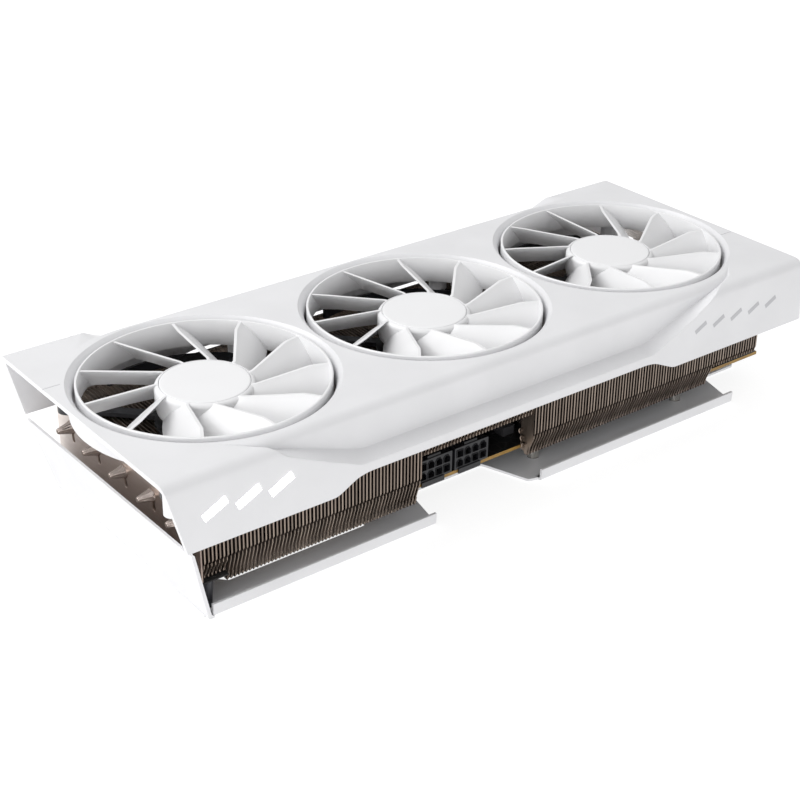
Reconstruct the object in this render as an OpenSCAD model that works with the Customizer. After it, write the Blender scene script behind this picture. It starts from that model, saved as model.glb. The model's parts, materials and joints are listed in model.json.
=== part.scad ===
// Triple-fan graphics card, lying on its backplate with the fans up.
// X runs from the tail end to the bracket end, Y from the power-socket side to the
// edge-connector side, Z up from the backplate to the fans.

/* [Shroud] */
// Length of the shroud along the card
shroud_l = 340; // [336:1:346]
// From the fans' centre line to the power-socket side wall
near_w = 69.3; // [67:0.1:71]
// From the fans' centre line to the edge-connector side wall
far_w = 63.5; // [62:0.1:66]
// Overall thickness, backplate to shroud face
total_h = 68.5; // [67:0.1:70]
// Height of the side walls' lower edges above the backplate
wall_z = 39.6; // [38:0.1:41]
// Thickness of the moulded shroud wall
shroud_t = 2.2; // [1.8:0.1:2.4]

/* [Fans] */
// Distance between neighbouring fan centres
fan_pitch = 112; // [111:0.5:114]
// Outer radius of a fan's ring
ring_r = 51.5; // [50:0.1:51.8]
// Blades on each fan
blade_count = 11; // [7:1:13]
// Radius of a fan's hub
hub_r = 20; // [18:0.5:21]

/* [Heatsink] */
// Distance between neighbouring fins
fin_pitch = 2; // [1.8:0.1:3]
// Thickness of one fin
fin_t = 0.4; // [0.3:0.1:0.6]
// Radius of the heat pipes
pipe_r = 3; // [2.5:0.1:3.2]
// Number of heat pipes
pipe_count = 5; // [3:1:5]

/* [Board] */
// Thickness of the circuit board
pcb_t = 1.6; // [1.2:0.1:2]
// Underside of the circuit board above the backplate's outer face
pcb_z = 12.3; // [11.5:0.1:12.5]

/* [Backplate] */
// Thickness of the backplate sheet
plate_t = 1.2; // [1:0.1:1.5]
// Height of the upturned lips on the wings
lip_h = 6; // [4:0.5:7]

/* [Hidden] */
$fn = 64;
eps = 0.01;
big = 400;

// Ends of the shroud, measured from the middle fan's axis
tail_x = -shroud_l / 2;
end_x = shroud_l / 2;
tail_slant = 7 / (total_h - wall_z);

// Rounding of the near top edge, and the raised middle body that holds the fans
near_round = 4.4;
near_lean = 0.107;
far_round = 1.2;
mid_near = 60.5;
mid_far = 58.5;
mid_round = 5;

// Scoops in the long sides: ledge height, ramp slopes and where the ramps start
ledge_z = 50.3;
ramp_slope = 0.41;
light_z = 53.5;
light_back = 1;
ramp_tail_x = -82;
ramp_end_x = 73.5;
scoop_in = 45;

// Raised lower edge in the middle of the side walls
notch_rise = 5.8;
notch_tail_x = -96.6;
notch_end_x = 85.6;
notch_run = 13.6;

// Fan openings and ducts
duct_r = ring_r + 1.1;
duct_t = 2;
duct_z = 56;
boss_z = 50;
skin_z = total_h - shroud_t + eps;
thread_l = 10;
lead_in = 2.8;
fan_x = [-fan_pitch, 0, fan_pitch];

// Fan rotor
rotor_top = total_h - 0.1;
hub_top = total_h - 3.2;
ring_t = 1.3;
ring_h = 12;
hub_h = 12.3;
hub_t = 2;
hub_round = 1.5;
cap_r = hub_r * 0.92;
cap_t = 1;
blade_t = 1.3;
blade_lean = 48;
blade_sweep = 34;
blade_rise = 5.6;
blade_w = 17.5;
blade_l = 48;
blade_root = 10;
blade_arc = 19.6;
blade_turn = [8.5, 0.2, 18.4];
boss_r = 3.2;
shaft_r = 1.5;
rotor_low = hub_top - hub_h;

// Fan base: plate and struts below the duct
base_z = 47.2;
base_t = 1.8;
base_r = hub_r + 1;
lug_h = boss_z - base_z - 0.1;
strut_w = 5;
strut_count = 4;
strut_turn = 45;
lug_at = duct_r + duct_t + 3.6;
lug_r = 4.2;
stator_r = 15.5;
stator_h = 9;
bearing_r = 3.6;
bearing_h = 9.5;
bearing_gap = 0.05;

// Heatsink
fin_top = 46;
fin_near = -57;
fin_far = 57;
bend_z = 21.5;
bend_in = 3.5;
tail_fins_x = -150;
tail_fins_end = -45.2;
mid_fins_end = 15.5;
end_fins_x = 157;
step_x = 127;
tail_bottom = 9.7;
short_bottom = 14.3;
short_x = -138;
mid_bottom = 32.2;
end_bottom = 11.8;
step_bottom = 19.5;
skirt_in = 8.4;
tab_w = 5;
tab_t = 0.5;
tab_in = 6;
pipe_z = 37;
pipe_low_z = 24.2;
pipe_y0 = 0.4;
pipe_step = 22.1;
pipe_gap = 0.2;
pipe_tip_l = 6.5;
pipe_tip_r = 1.2;
pipe_turn_x = 158;
pipe_low_x = 28;
inner_bottom = pipe_low_z + pipe_r + 0.1;
end_plate_t = 0.8;

// Board and what is on it
board_tail = -44;
board_end = end_x - 0.4;
board_near = -47.5;
board_far = 70.5;
board_top = pcb_z + pcb_t;
finger_y = 79;
finger_x = 127.2;
finger_short = 11.65;
finger_gap = 1.9;
finger_long = 71.35;
contact_pitch = 1;
contact_l = 5.6;
contact_w = 0.7;
contact_t = 0.1;
gpu_x = 72;
gpu_y = 8;
gpu_w = 40;
gpu_t = 1.4;
die_w = 19;
die_t = 0.9;
memory_l = 14;
memory_w = 12;
memory_t = 1.1;
memory_ring = 34;
coil_x = 15;
cold_l = 92;
cold_near = -46.2;
cold_far = 52;
cold_z = board_top + gpu_t + die_t;
cold_t = pipe_low_z - pipe_r - cold_z;

// Power sockets
socket_w = 18.4;
socket_h = 10.6;
socket_d = 13;
socket_x = [-40.4, -20.5];
cell = 3.4;
cell_pitch = 4.2;
cell_d = 10;
pin_w = 1;
latch_w = 7;
skirt_w = 12;

// Bracket and ports
bracket_x = end_x + 0.9;
bracket_t = 0.9;
bracket_top = -33;
bracket_l = 120;
bracket_z = 10.2;
bracket_h = 38.8;
bracket_tip = 7.4;
tab_l = 11.4;
tip_w = 10.2;
screw_notch_r = 2.2;
port_x = end_x + 1.3;
port_pitch = 21.5;
port_y0 = -14;
port_d = 17;
port_z = board_top + 0.05;
port_mouth = 5.2;
ear_y = [-26.5, 65];
ear_x = end_x - 5;
ear_w = 7;
ear_t = 0.9;

// Backplate outline
plate_tail = -151;
plate_end = end_x - 0.4;
plate_near = -59.8;
plate_far = 61;
plate_waist = -33.5;
window_x = [-135.5, -60.5];
window_y = [-43.3, 43];
window_cut = 4.5;
tail_plate_top = 35.5;
tail_plate_run = 9.6;
tail_flare_near = 6.2;
tail_flare_far = 3.8;

// Small hardware
screw_r = 1.5;
screw_gap = 0.15;
screw_head_r = 2.7;
screw_head_h = 0.6;
spring_r = 3;
wire_r = 0.4;
leg_r = 3.5;
leg_spots = [[-56, -46], [-56, 44], [56, -46], [56, 44]];
tail_leg_spots = [[-156.6, -48]];
tail_leg_z = 43.6;
trunk_r = 1.2;
lead_r = 0.45;

clamp_span = 54;
clamp_z = pcb_z - 2.6;
spring_room = 4.4;
standoff_spots = [[-38, 56], [14, 44], [30, -42], [120, -42], [150, 62], [150, -28]];
ear_spots = [for (y = ear_y) [ear_x, y]];
board_holes = concat(standoff_spots, ear_spots);

// Centre of the footprint, where the part's own origin lies
span_x = [tail_x, bracket_x + tab_l];
span_y = [-near_w, bracket_top + bracket_l];
origin_x = (span_x[0] + span_x[1]) / 2;
origin_y = (span_y[0] + span_y[1]) / 2;

// ---------- helpers ----------

// Moves a part from the middle fan's frame to the footprint's centre
module place() {
    translate([-origin_x, -origin_y, 0]) children();
}

// A box given by its two corners
module block(low, high) {
    translate(low) cube(high - low);
}

// Sweeps a profile drawn in (y, z) along X
module along_x(from, to) {
    translate([from, 0, 0]) rotate([90, 0, 90]) linear_extrude(to - from) children();
}

// Sweeps an outline drawn in (x, z) along Y
module along_y(from, to) {
    translate([0, to, 0]) rotate([90, 0, 0]) linear_extrude(to - from) children();
}

// Points of an arc, for rounded outlines
function arc(cx, cy, r, from, to, steps = 8) =
    [for (i = [0:steps]) let (a = from + (to - from) * i / steps) [cx + r * cos(a), cy + r * sin(a)]];

// Places its children at each fan's axis
module at_fan(n) {
    translate([fan_x[n], 0, 0]) children();
}

function pipe_y(i) = pipe_y0 + pipe_step * (i - (pipe_count - 1) / 2);

// ---------- shroud ----------

// Outer face of the leaning near wall at a height
function near_y(z) = -near_w + near_lean * (z - wall_z);

// Cross-section of the end blocks, inset by the wall thickness for the inside
module end_section(inset, low) {
    lean = atan(near_lean);
    mid_z = total_h - near_round;
    polygon(concat(
        [[far_w - inset, low]],
        arc(far_w - inset - far_round, total_h - inset - far_round, far_round, 0, 90, 3),
        arc(near_y(mid_z) + near_round / cos(lean), mid_z, near_round - inset, 90, 180 - lean),
        [[near_y(low) + inset / cos(lean), low]]));
}

// Cross-section of the middle body between the first and the last fan
module mid_section(inset, low) {
    r = mid_round - inset;
    polygon(concat(
        [[mid_far - inset, low]],
        arc(mid_far - mid_round, total_h - mid_round, r, 0, 90, 6),
        arc(-mid_near + mid_round, total_h - mid_round, r, 90, 180, 6),
        [[-mid_near + inset, low]]));
}

module middle_body(inset, low) {
    reach = (total_h - ledge_z) / ramp_slope + 1;
    along_x(ramp_tail_x - reach, ramp_end_x + reach) mid_section(inset, low);
}

// Everything above the ledge and its two ramps, on both long sides
module scoops(lower) {
    run = total_h;
    profile = [
        [ramp_tail_x - run / ramp_slope, ledge_z - lower + run],
        [ramp_tail_x, ledge_z - lower],
        [ramp_end_x, ledge_z - lower],
        [ramp_end_x + run / ramp_slope, ledge_z - lower + run]];
    along_y(-big, -scoop_in) polygon(profile);
    along_y(scoop_in, big) polygon(profile);
}

// What is left below the side walls' lower edges and beyond the slanted tail cut
module wall_trim() {
    top = wall_z + notch_rise;
    along_y(-big, big) polygon([[-big, -big], [-big, wall_z], [notch_tail_x, wall_z],
        [notch_tail_x + notch_run, top], [notch_end_x - notch_run, top],
        [notch_end_x, wall_z], [big, wall_z], [big, -big]]);
    along_y(-big, big) polygon([[tail_x, total_h + eps], [tail_x - big, total_h + eps], [tail_x - big, 0],
        [tail_x + tail_slant * total_h, 0]]);
}

module fan_opening(n) {
    at_fan(n) {
        translate([0, 0, -eps]) cylinder(h = total_h + 1, r = duct_r);
        rotate_extrude() polygon(concat(
            [[duct_r - eps, total_h + eps]],
            arc(duct_r + lead_in, total_h - lead_in, lead_in, 180, 90, 6),
            [[duct_r + lead_in, total_h + eps]]));
    }
}

module shroud() {
    color("whitesmoke") place() difference() {
        union() {
            difference() {
                along_x(tail_x, end_x) end_section(0, wall_z);
                scoops(0);
                difference() {
                    along_x(tail_x - 1, end_x + 1) end_section(shroud_t, -1);
                    scoops(shroud_t);
                }
                along_x(ramp_tail_x - 3, ramp_end_x + 3) mid_section(shroud_t, -1);
                wall_trim();
            }
            difference() {
                middle_body(0, ledge_z - shroud_t);
                middle_body(shroud_t, 0);
            }
            for (n = [0:2])
                at_fan(n) translate([0, 0, duct_z]) cylinder(h = skin_z - duct_z, r = duct_r + duct_t);
            for (n = [0:2]) at_lugs(n) translate([0, 0, boss_z]) cylinder(h = skin_z - boss_z, r = lug_r);
            for (p = leg_spots)
                translate([p[0], p[1], fin_top + 0.02]) cylinder(h = skin_z - fin_top, r = leg_r);
            for (p = tail_leg_spots)
                translate([p[0], p[1], tail_leg_z]) cylinder(h = skin_z - tail_leg_z, r = leg_r);
        }
        for (n = [0:2]) fan_opening(n);
        for (n = [0:2]) at_lugs(n) translate([0, 0, boss_z - 1]) cylinder(h = thread_l + 1, r = screw_r);
        light_window(0.15);
    }
}

// Three slanted bars, a plain pattern of light
module light_window(gap) {
    bar_l = 11;
    bar_h = 3.2;
    bar_slope = 24;
    first_x = -150;
    step = 14.5;
    for (i = [0:2])
        translate([first_x + step * i, near_y(light_z) + shroud_t / 2, light_z])
            rotate([0, -bar_slope, 0])
                cube([bar_l + 2 * gap, shroud_t + 3, bar_h + 2 * gap], center = true);
}

module light_panel() {
    panel_t = 1.2;
    back = near_y(light_z) + shroud_t + light_back;
    color("white") place() {
        intersection() {
            light_window(0);
            block([tail_x, near_y(light_z), wall_z], [-100, back + 0.1, total_h]);
        }
        block([-160, back, 47], [-112, back + panel_t, 59]);
    }
}

module light_strip() {
    inner = near_y(light_z) + shroud_t + light_back + 1.4;
    color("darkgreen") place() block([-158, inner, 49], [-114, inner + 1, 57]);
}

// ---------- fans ----------

module blades() {
    intersection() {
        translate([0, 0, rotor_low]) difference() {
            cylinder(h = rotor_top - rotor_low - 0.1, r = ring_r - ring_t / 2);
            translate([0, 0, -1]) cylinder(h = rotor_top, r = hub_r - hub_t / 2);
        }
        for (i = [0:blade_count - 1])
            rotate([0, 0, i * 360 / blade_count - blade_arc])
                translate([hub_r, 0, hub_top - 0.1])
                    rotate([0, 0, blade_sweep]) rotate([0, -blade_rise, 0]) rotate([-blade_lean, 0, 0])
                        translate([-blade_root, -blade_t / 2, -blade_w])
                            cube([blade_l, blade_t, blade_w]);
    }
}

module fan_rotor(n) {
    color("white") place() at_fan(n) {
        difference() {
            union() {
                translate([0, 0, rotor_top - ring_h]) difference() {
                    cylinder(h = ring_h, r = ring_r);
                    translate([0, 0, -1]) cylinder(h = ring_h + 2, r = ring_r - ring_t);
                }
                rotate_extrude() polygon(concat(
                    [[0, rotor_low], [hub_r, rotor_low]],
                    arc(hub_r - hub_round, hub_top - hub_round, hub_round, 0, 90, 4),
                    [[0, hub_top]]));
                rotate([0, 0, blade_turn[n]]) blades();
            }
            translate([0, 0, rotor_low - 1]) difference() {
                cylinder(h = hub_h - hub_t - cap_t + 1, r = hub_r - hub_t);
                translate([0, 0, hub_h - hub_t - cap_t - 2]) cylinder(h = 4, r = boss_r);
            }
            translate([0, 0, hub_top - cap_t]) cylinder(h = cap_t + 1, r = cap_r + 0.2);
            translate([0, 0, rotor_low]) cylinder(h = hub_h - cap_t - 1, r = shaft_r);
        }
    }
}

module hub_cap(n) {
    color("white") place() at_fan(n)
        translate([0, 0, hub_top - cap_t]) cylinder(h = cap_t + 0.2, r = cap_r);
}

module fan_shaft(n) {
    low = base_z + base_t + 0.6;
    high = hub_top - cap_t - 1;
    color("silver") place() at_fan(n) translate([0, 0, low]) cylinder(h = high - low, r = shaft_r);
}

module fan_bearing(n) {
    color("goldenrod") place() at_fan(n) translate([0, 0, base_z + base_t]) difference() {
        cylinder(h = bearing_h, r = bearing_r);
        translate([0, 0, -1]) cylinder(h = bearing_h + 2, r = shaft_r + bearing_gap);
    }
}

module fan_stator(n) {
    poles = 6;
    slot_w = 2.2;
    color("dimgray") place() at_fan(n) translate([0, 0, base_z + base_t + 0.5]) difference() {
        cylinder(h = stator_h, r = stator_r);
        translate([0, 0, -1]) cylinder(h = stator_h + 2, r = bearing_r + 0.05);
        for (i = [0:poles - 1])
            rotate([0, 0, i * 360 / poles])
                translate([bearing_r + 3, -slot_w / 2, -1])
                    cube([stator_r, slot_w, stator_h + 2]);
    }
}

// Places its children at the ends of one fan base's struts
module at_lugs(n) {
    at_fan(n) for (i = [0:strut_count - 1])
        rotate([0, 0, strut_turn + i * 360 / strut_count]) translate([lug_at, 0, 0]) children();
}

module fan_base(n) {
    color([0.13, 0.13, 0.14]) place() difference() {
        union() {
            at_fan(n) translate([0, 0, base_z]) {
                cylinder(h = base_t, r = base_r);
                for (i = [0:strut_count - 1])
                    rotate([0, 0, strut_turn + i * 360 / strut_count])
                        translate([base_r - 2, -strut_w / 2, 0])
                            cube([lug_at - base_r + 2, strut_w, base_t]);
            }
            at_lugs(n) translate([0, 0, base_z]) cylinder(h = lug_h, r = lug_r);
        }
        at_lugs(n) translate([0, 0, base_z - 1]) cylinder(h = lug_h + 2, r = screw_r + screw_gap);
    }
}

module fan_base_screws() {
    head_h = 0.9;
    color("black") place() for (n = [0:2])
        at_lugs(n) translate([0, 0, base_z - head_h]) {
            cylinder(h = head_h, r = screw_head_r);
            cylinder(h = head_h + lug_h + thread_l - 1, r = screw_r - 0.02);
        }
}

// ---------- heatsink ----------

module pipe_holes() {
    for (i = [0:pipe_count - 1]) translate([pipe_y(i), pipe_z]) circle(r = pipe_r + pipe_gap);
}

// Fin outline in (y, z): bent-in lower near edge, and an inner part that clears the board
module fin_outline(bottom, inner) {
    polygon([[fin_near, fin_top], [fin_near, max(bend_z, bottom)], [fin_near + bend_in, bottom],
        [fin_near + skirt_in, bottom], [fin_near + skirt_in, inner],
        [fin_far - tab_in / 2, inner], [fin_far, inner + tab_in], [fin_far, fin_top]]);
}

// A row of fins, tied together by folded tabs along their top and bottom edges
module fin_row(from, to, bottom, inner, start = 0) {
    count = floor((to - from - fin_t) / fin_pitch);
    gap = (to - from - fin_t) / count;
    for (i = [start:count])
        along_x(from + i * gap, from + i * gap + fin_t) difference() {
            fin_outline(bottom, inner);
            pipe_holes();
        }
    for (y = [fin_near + tab_in, fin_far - tab_in - tab_w])
        block([from + start * gap, y, fin_top - tab_t], [to, y + tab_w, fin_top]);
    block([from + start * gap, fin_near + bend_in, bottom], [to, fin_near + bend_in + 3, bottom + tab_t]);
    block([from + start * gap, fin_far - tab_in - tab_w, inner], [to, fin_far - tab_in, inner + tab_t]);
}

// Joins two rows of one pack along their top tabs
module fin_bridge(x) {
    for (y = [fin_near + tab_in, fin_far - tab_in - tab_w])
        block([x - fin_t, y, fin_top - tab_t], [x + 2 * fin_pitch, y + tab_w, fin_top]);
}

module fins_tail() {
    color([0.4, 0.35, 0.32]) place() {
        fin_row(tail_fins_x, short_x, short_bottom, short_bottom);
        fin_row(short_x, tail_fins_end, tail_bottom, tail_bottom, 1);
        fin_bridge(short_x);
    }
}

module fins_middle() {
    color([0.4, 0.35, 0.32]) place()
        fin_row(tail_fins_end + 0.6, mid_fins_end - 0.6, mid_bottom, mid_bottom);
}

module fins_bracket() {
    color([0.4, 0.35, 0.32]) place() {
        fin_row(mid_fins_end, step_x, end_bottom, inner_bottom);
        fin_row(step_x, end_fins_x, step_bottom, inner_bottom, 1);
        fin_bridge(step_x);
    }
}

module end_plate_tail() {
    slot = [2.6, 5];
    slot_z = 32;
    near = fin_near + 0.5;
    color([0.45, 0.39, 0.36]) place()
        along_x(tail_fins_x - end_plate_t - 0.05, tail_fins_x - 0.05) difference() {
            translate([near, short_bottom]) square([fin_far - near, fin_top - short_bottom]);
            pipe_holes();
            for (i = [0:pipe_count - 1]) translate([pipe_y(i) - 1, slot_z]) square(slot, center = true);
        }
}

module end_plate_bracket() {
    corner = 4;
    near = fin_near + 1;
    low = step_bottom + 0.5;
    high = fin_top - 0.5;
    inner = fin_near + skirt_in;
    color([0.45, 0.39, 0.36]) place()
        along_x(end_fins_x + 0.05, end_fins_x + end_plate_t + 0.05) difference() {
            polygon(concat(
                [[inner, low], [inner, inner_bottom], [fin_far, inner_bottom], [fin_far, high], [near, high]],
                arc(near + corner, low + corner, corner, 180, 270, 4)));
            pipe_holes();
        }
}

// One pipe: tapered closed tip, upper run through all the fins, return bend, lower run on the cold plate
module heat_pipe(y) {
    turn_r = (pipe_z - pipe_low_z) / 2;
    tip_x = tail_fins_x - end_plate_t - 0.05;
    translate([0, y, 0]) {
        translate([tip_x, 0, pipe_z]) rotate([0, 90, 0]) cylinder(h = pipe_turn_x - tip_x, r = pipe_r);
        translate([tip_x - pipe_tip_l, 0, pipe_z]) rotate([0, 90, 0]) rotate_extrude()
            polygon([[0, 0], [pipe_tip_r, 0], [pipe_r, pipe_tip_l], [0, pipe_tip_l]]);
        translate([pipe_low_x, 0, pipe_low_z]) rotate([0, 90, 0])
            cylinder(h = pipe_turn_x - pipe_low_x, r = pipe_r);
        translate([pipe_turn_x, 0, (pipe_z + pipe_low_z) / 2]) rotate([90, 90, 0])
            rotate_extrude(angle = 180) translate([turn_r, 0]) circle(r = pipe_r);
    }
}

module heat_pipes() {
    color([0.55, 0.47, 0.42]) place() for (i = [0:pipe_count - 1]) heat_pipe(pipe_y(i));
}

module cold_plate() {
    color([0.72, 0.6, 0.5]) place()
        block([gpu_x - cold_l / 2, cold_near, cold_z], [gpu_x + cold_l / 2, cold_far, cold_z + cold_t]);
}

// ---------- board ----------

module circuit_board() {
    long_x = finger_x - finger_short - finger_gap;
    color([0.1, 0.1, 0.1]) place() translate([0, 0, pcb_z]) difference() {
        union() {
            block([board_tail, board_near, 0], [board_end, board_far, pcb_t]);
            block([finger_x - finger_short, board_far - 1, 0], [finger_x, finger_y, pcb_t]);
            block([long_x - finger_long, board_far - 1, 0], [long_x, finger_y, pcb_t]);
        }
        at_clamp() translate([0, 0, -1]) cylinder(h = pcb_t + 2, r = screw_r + screw_gap);
        for (p = board_holes) translate([p[0], p[1], -1]) cylinder(h = pcb_t + 2, r = screw_r + screw_gap);
    }
}

module edge_contacts() {
    long_x = finger_x - finger_short - finger_gap;
    rows = [[finger_x, 11], [long_x, 71]];
    color("gold") place() for (row = rows, i = [0:row[1] - 1], side = [-contact_t, pcb_t])
        translate([row[0] - 0.3 - contact_pitch * i - contact_w, finger_y - 0.4 - contact_l, pcb_z + side])
            cube([contact_w, contact_l, contact_t]);
}

module processor_package() {
    color("darkgreen") place() translate([gpu_x - gpu_w / 2, gpu_y - gpu_w / 2, board_top])
        cube([gpu_w, gpu_w, gpu_t]);
}

module processor_die() {
    color("slategray") place() translate([gpu_x - die_w / 2, gpu_y - die_w / 2, board_top + gpu_t])
        cube([die_w, die_w, die_t]);
}

// Memory chips stand in rows on three sides of the processor
memory_spots = concat(
    [for (s = [-1, 1]) [gpu_x + s * 9, gpu_y + memory_ring, 0]],
    [for (s = [-1, 1]) [gpu_x + s * 9, gpu_y - memory_ring, 0]],
    [for (s = [-1, 1]) [gpu_x - memory_ring, gpu_y + s * 9, 0]],
    [for (s = [-1, 1]) [gpu_x + memory_ring, gpu_y + s * 9, 0]]);

module memory_blocks(low, high, shrink) {
    for (p = memory_spots)
        translate([p[0] - memory_l / 2 + shrink, p[1] - memory_w / 2 + shrink, low])
            cube([memory_l - 2 * shrink, memory_w - 2 * shrink, high - low]);
}

module memory_chips() {
    color([0.15, 0.15, 0.16]) place() memory_blocks(board_top, board_top + memory_t, 0);
}

module memory_pads() {
    color("lightsteelblue") place() memory_blocks(board_top + memory_t, cold_z, 0.5);
}

module supply_coils() {
    size = 6.5;
    color([0.25, 0.25, 0.26]) place() for (i = [0:9])
        translate([coil_x, -38 + 9 * i, board_top]) cube([size, size, 4.2]);
}

module supply_capacitors() {
    color("dimgray") place() for (i = [0:5], j = [0:1])
        translate([-34 + 8.5 * i, -26 + 11 * j, board_top]) cylinder(h = 6.5, r = 3);
}

// ---------- power sockets ----------

function cell_is_square(i, row) = (row == 1) ? (i == 0) : (i >= 2);

module cell_hole(square_cell) {
    if (square_cell) translate([-cell / 2, -cell / 2]) square(cell);
    else polygon([[-cell / 2, -cell / 2], [cell / 2, -cell / 2], [cell / 2, cell / 5],
        [cell / 4, cell / 2], [-cell / 4, cell / 2], [-cell / 2, cell / 5]]);
}

module power_socket(n) {
    wall = (socket_w - 4 * cell_pitch) / 2;
    color([0.1, 0.1, 0.11]) place() translate([socket_x[n], board_near - 0.6, board_top]) difference() {
        union() {
            cube([socket_w, socket_d, socket_h]);
            translate([2, -0.2, -pcb_t - 0.3]) cube([skirt_w, 0.7, pcb_t + 1]);
            translate([(socket_w - latch_w) / 2, 1, socket_h - eps]) cube([latch_w, 5, 1.1]);
        }
        for (i = [0:3], row = [0:1])
            translate([wall + cell_pitch * (i + 0.5), cell_d - 1, 3 + row * (cell_pitch + 0.3)])
                rotate([90, 0, 0]) linear_extrude(cell_d + 1) cell_hole(cell_is_square(i, row));
    }
}

module power_pins() {
    wall = (socket_w - 4 * cell_pitch) / 2;
    color("gold") place() for (n = [0:1], i = [0:3], row = [0:1])
        translate([socket_x[n] + wall + cell_pitch * (i + 0.5) - pin_w / 2, board_near - 0.6 + cell_d - 7.5,
            board_top + 3 + row * (cell_pitch + 0.3) - pin_w / 2])
            cube([pin_w, 6.5, pin_w]);
}

// ---------- bracket and ports ----------

module io_bracket() {
    slot_l = 14;
    slot_h = 2.6;
    bottom_y = bracket_top + bracket_l;
    color("silver") place() difference() {
        union() {
            block([bracket_x - bracket_t, bracket_top, bracket_z],
                [bracket_x, bottom_y - bracket_tip, bracket_z + bracket_h]);
            for (s = [0, 1])
                block([bracket_x - bracket_t, bottom_y - bracket_tip - 1, bracket_z + 4 + s * 20.3],
                    [bracket_x, bottom_y, bracket_z + 4 + tip_w + s * 20.3]);
            block([bracket_x - bracket_t, bracket_top, bracket_z],
                [bracket_x + tab_l, bracket_top + bracket_t, bracket_z + bracket_h]);
            for (y = ear_y)
                block([ear_x - 4, y - ear_w / 2, board_top + 0.05],
                    [bracket_x - bracket_t + eps, y + ear_w / 2, board_top + 0.05 + ear_t]);
        }
        for (p = ear_spots) translate([p[0], p[1], board_top - 1]) cylinder(h = 4, r = screw_r + screw_gap);
        for (i = [0:3])
            translate([bracket_x - 2, port_y(i) - port_w(i) / 2 - 0.3, port_z - 0.3])
                cube([4, port_w(i) + 0.6, port_h(i) + 0.6]);
        for (i = [0:5], j = [0:2])
            block([bracket_x - 2, bracket_top + 7 + i * 16.5, bracket_z + 18 + j * 6.5],
                [bracket_x + 2, bracket_top + 7 + i * 16.5 + slot_l - 3, bracket_z + 18 + j * 6.5 + slot_h]);
        for (s = [0, 1])
            translate([bracket_x + tab_l - 3.6, bracket_top - 1, bracket_z + 10.5 + s * 20.3]) {
                rotate([-90, 0, 0]) cylinder(h = 4, r = screw_notch_r);
                translate([0, 0, -screw_notch_r]) cube([10, 4, 2 * screw_notch_r]);
            }
    }
}

// The first port is the taller kind, the other three are alike
function port_y(i) = port_y0 + port_pitch * i;
function port_w(i) = (i == 0) ? 15 : 17;
function port_h(i) = (i == 0) ? 6 : 5.6;

module video_port(i) {
    skin = 0.4;
    w = port_w(i);
    h = port_h(i);
    back = 3;
    tongue = [port_d - back - port_mouth + 0.5, w - 5, 1.4];
    color("silver") place() translate([port_x - port_d, port_y(i) - w / 2, port_z]) {
        difference() {
            cube([port_d, w, h]);
            translate([back, skin, skin]) cube([port_d, w - 2 * skin, h - 2 * skin]);
        }
        translate([back - 0.5, (w - tongue[1]) / 2, (h - tongue[2]) / 2]) cube(tongue);
    }
}

module bracket_screws() {
    color("black") place() for (p = ear_spots)
        translate([p[0], p[1], pcb_z - 1]) {
            cylinder(h = pcb_t + ear_t + 1.05, r = screw_r);
            translate([0, 0, pcb_t + ear_t + 1.05]) cylinder(h = 1.4, r = screw_head_r);
        }
}

// ---------- backplate ----------

module plate_outline() {
    polygon([[plate_tail, plate_far], [plate_end, plate_far], [plate_end, plate_waist],
        [148.4, plate_waist], [139.6, plate_near], [18.5, plate_near], [14.6, -57.3],
        [6.8, plate_waist], [-33.2, plate_waist], [-40, plate_near], [plate_tail, plate_near]]);
}

// Flow-through window, cut off at its four corners
module plate_window() {
    polygon([[window_x[0], window_y[0] + window_cut], [window_x[0] + window_cut, window_y[0]],
        [window_x[1] - window_cut, window_y[0]], [window_x[1], window_y[0] + window_cut],
        [window_x[1], window_y[1] - window_cut], [window_x[1] - window_cut, window_y[1]],
        [window_x[0] + window_cut, window_y[1]], [window_x[0], window_y[1] - window_cut]]);
}

// The slanted upturned end, a leaning sheet that widens towards its top
module tail_plate() {
    foot = plate_t + 0.1;
    intersection() {
        along_y(-big, big) polygon([[plate_tail, 0], [plate_tail + foot, 0],
            [plate_tail + foot - tail_plate_run, tail_plate_top],
            [plate_tail - tail_plate_run, tail_plate_top]]);
        along_x(-big, big) polygon([[plate_near, 0], [plate_far, 0],
            [plate_far + tail_flare_far, tail_plate_top], [plate_near - tail_flare_near, tail_plate_top]]);
    }
}

module backplate() {
    color("white") place() difference() {
        union() {
            linear_extrude(plate_t) plate_outline();
            block([plate_tail + 3, plate_near, 0], [-41, plate_near + plate_t, lip_h]);
            block([19.5, plate_near, 0], [138.6, plate_near + plate_t, lip_h]);
            tail_plate();
        }
        translate([0, 0, -1]) linear_extrude(plate_t + 2) plate_window();
        for (p = standoff_spots) translate([p[0], p[1], -1]) {
            cylinder(h = plate_t + 2, r = screw_r + screw_gap);
            cylinder(h = screw_head_h + 1.1, r = screw_head_r + screw_gap);
        }
    }
}

// ---------- clamp and fasteners ----------

module clamp_cross() {
    arm_w = 9;
    arm_t = 1;
    reach = clamp_span * sqrt(2);
    color("silver") place() translate([0, 0, clamp_z]) difference() {
        for (a = [45, 135]) translate([gpu_x, gpu_y, 0]) rotate([0, 0, a])
            translate([-reach / 2 - 4, -arm_w / 2, 0]) cube([reach + 8, arm_w, arm_t]);
        at_clamp() translate([0, 0, -1]) cylinder(h = 4, r = screw_r + screw_gap);
    }
}

module at_clamp() {
    for (x = [-1, 1], y = [-1, 1])
        translate([gpu_x + x * clamp_span / 2, gpu_y + y * clamp_span / 2, 0]) children();
}

module clamp_screws() {
    head_h = 1.4;
    color("dimgray") place() at_clamp() translate([0, 0, clamp_z - spring_room]) {
        cylinder(h = cold_z - clamp_z + spring_room, r = screw_r);
        translate([0, 0, -head_h]) cylinder(h = head_h, r = spring_r + 0.4);
    }
}

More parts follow.
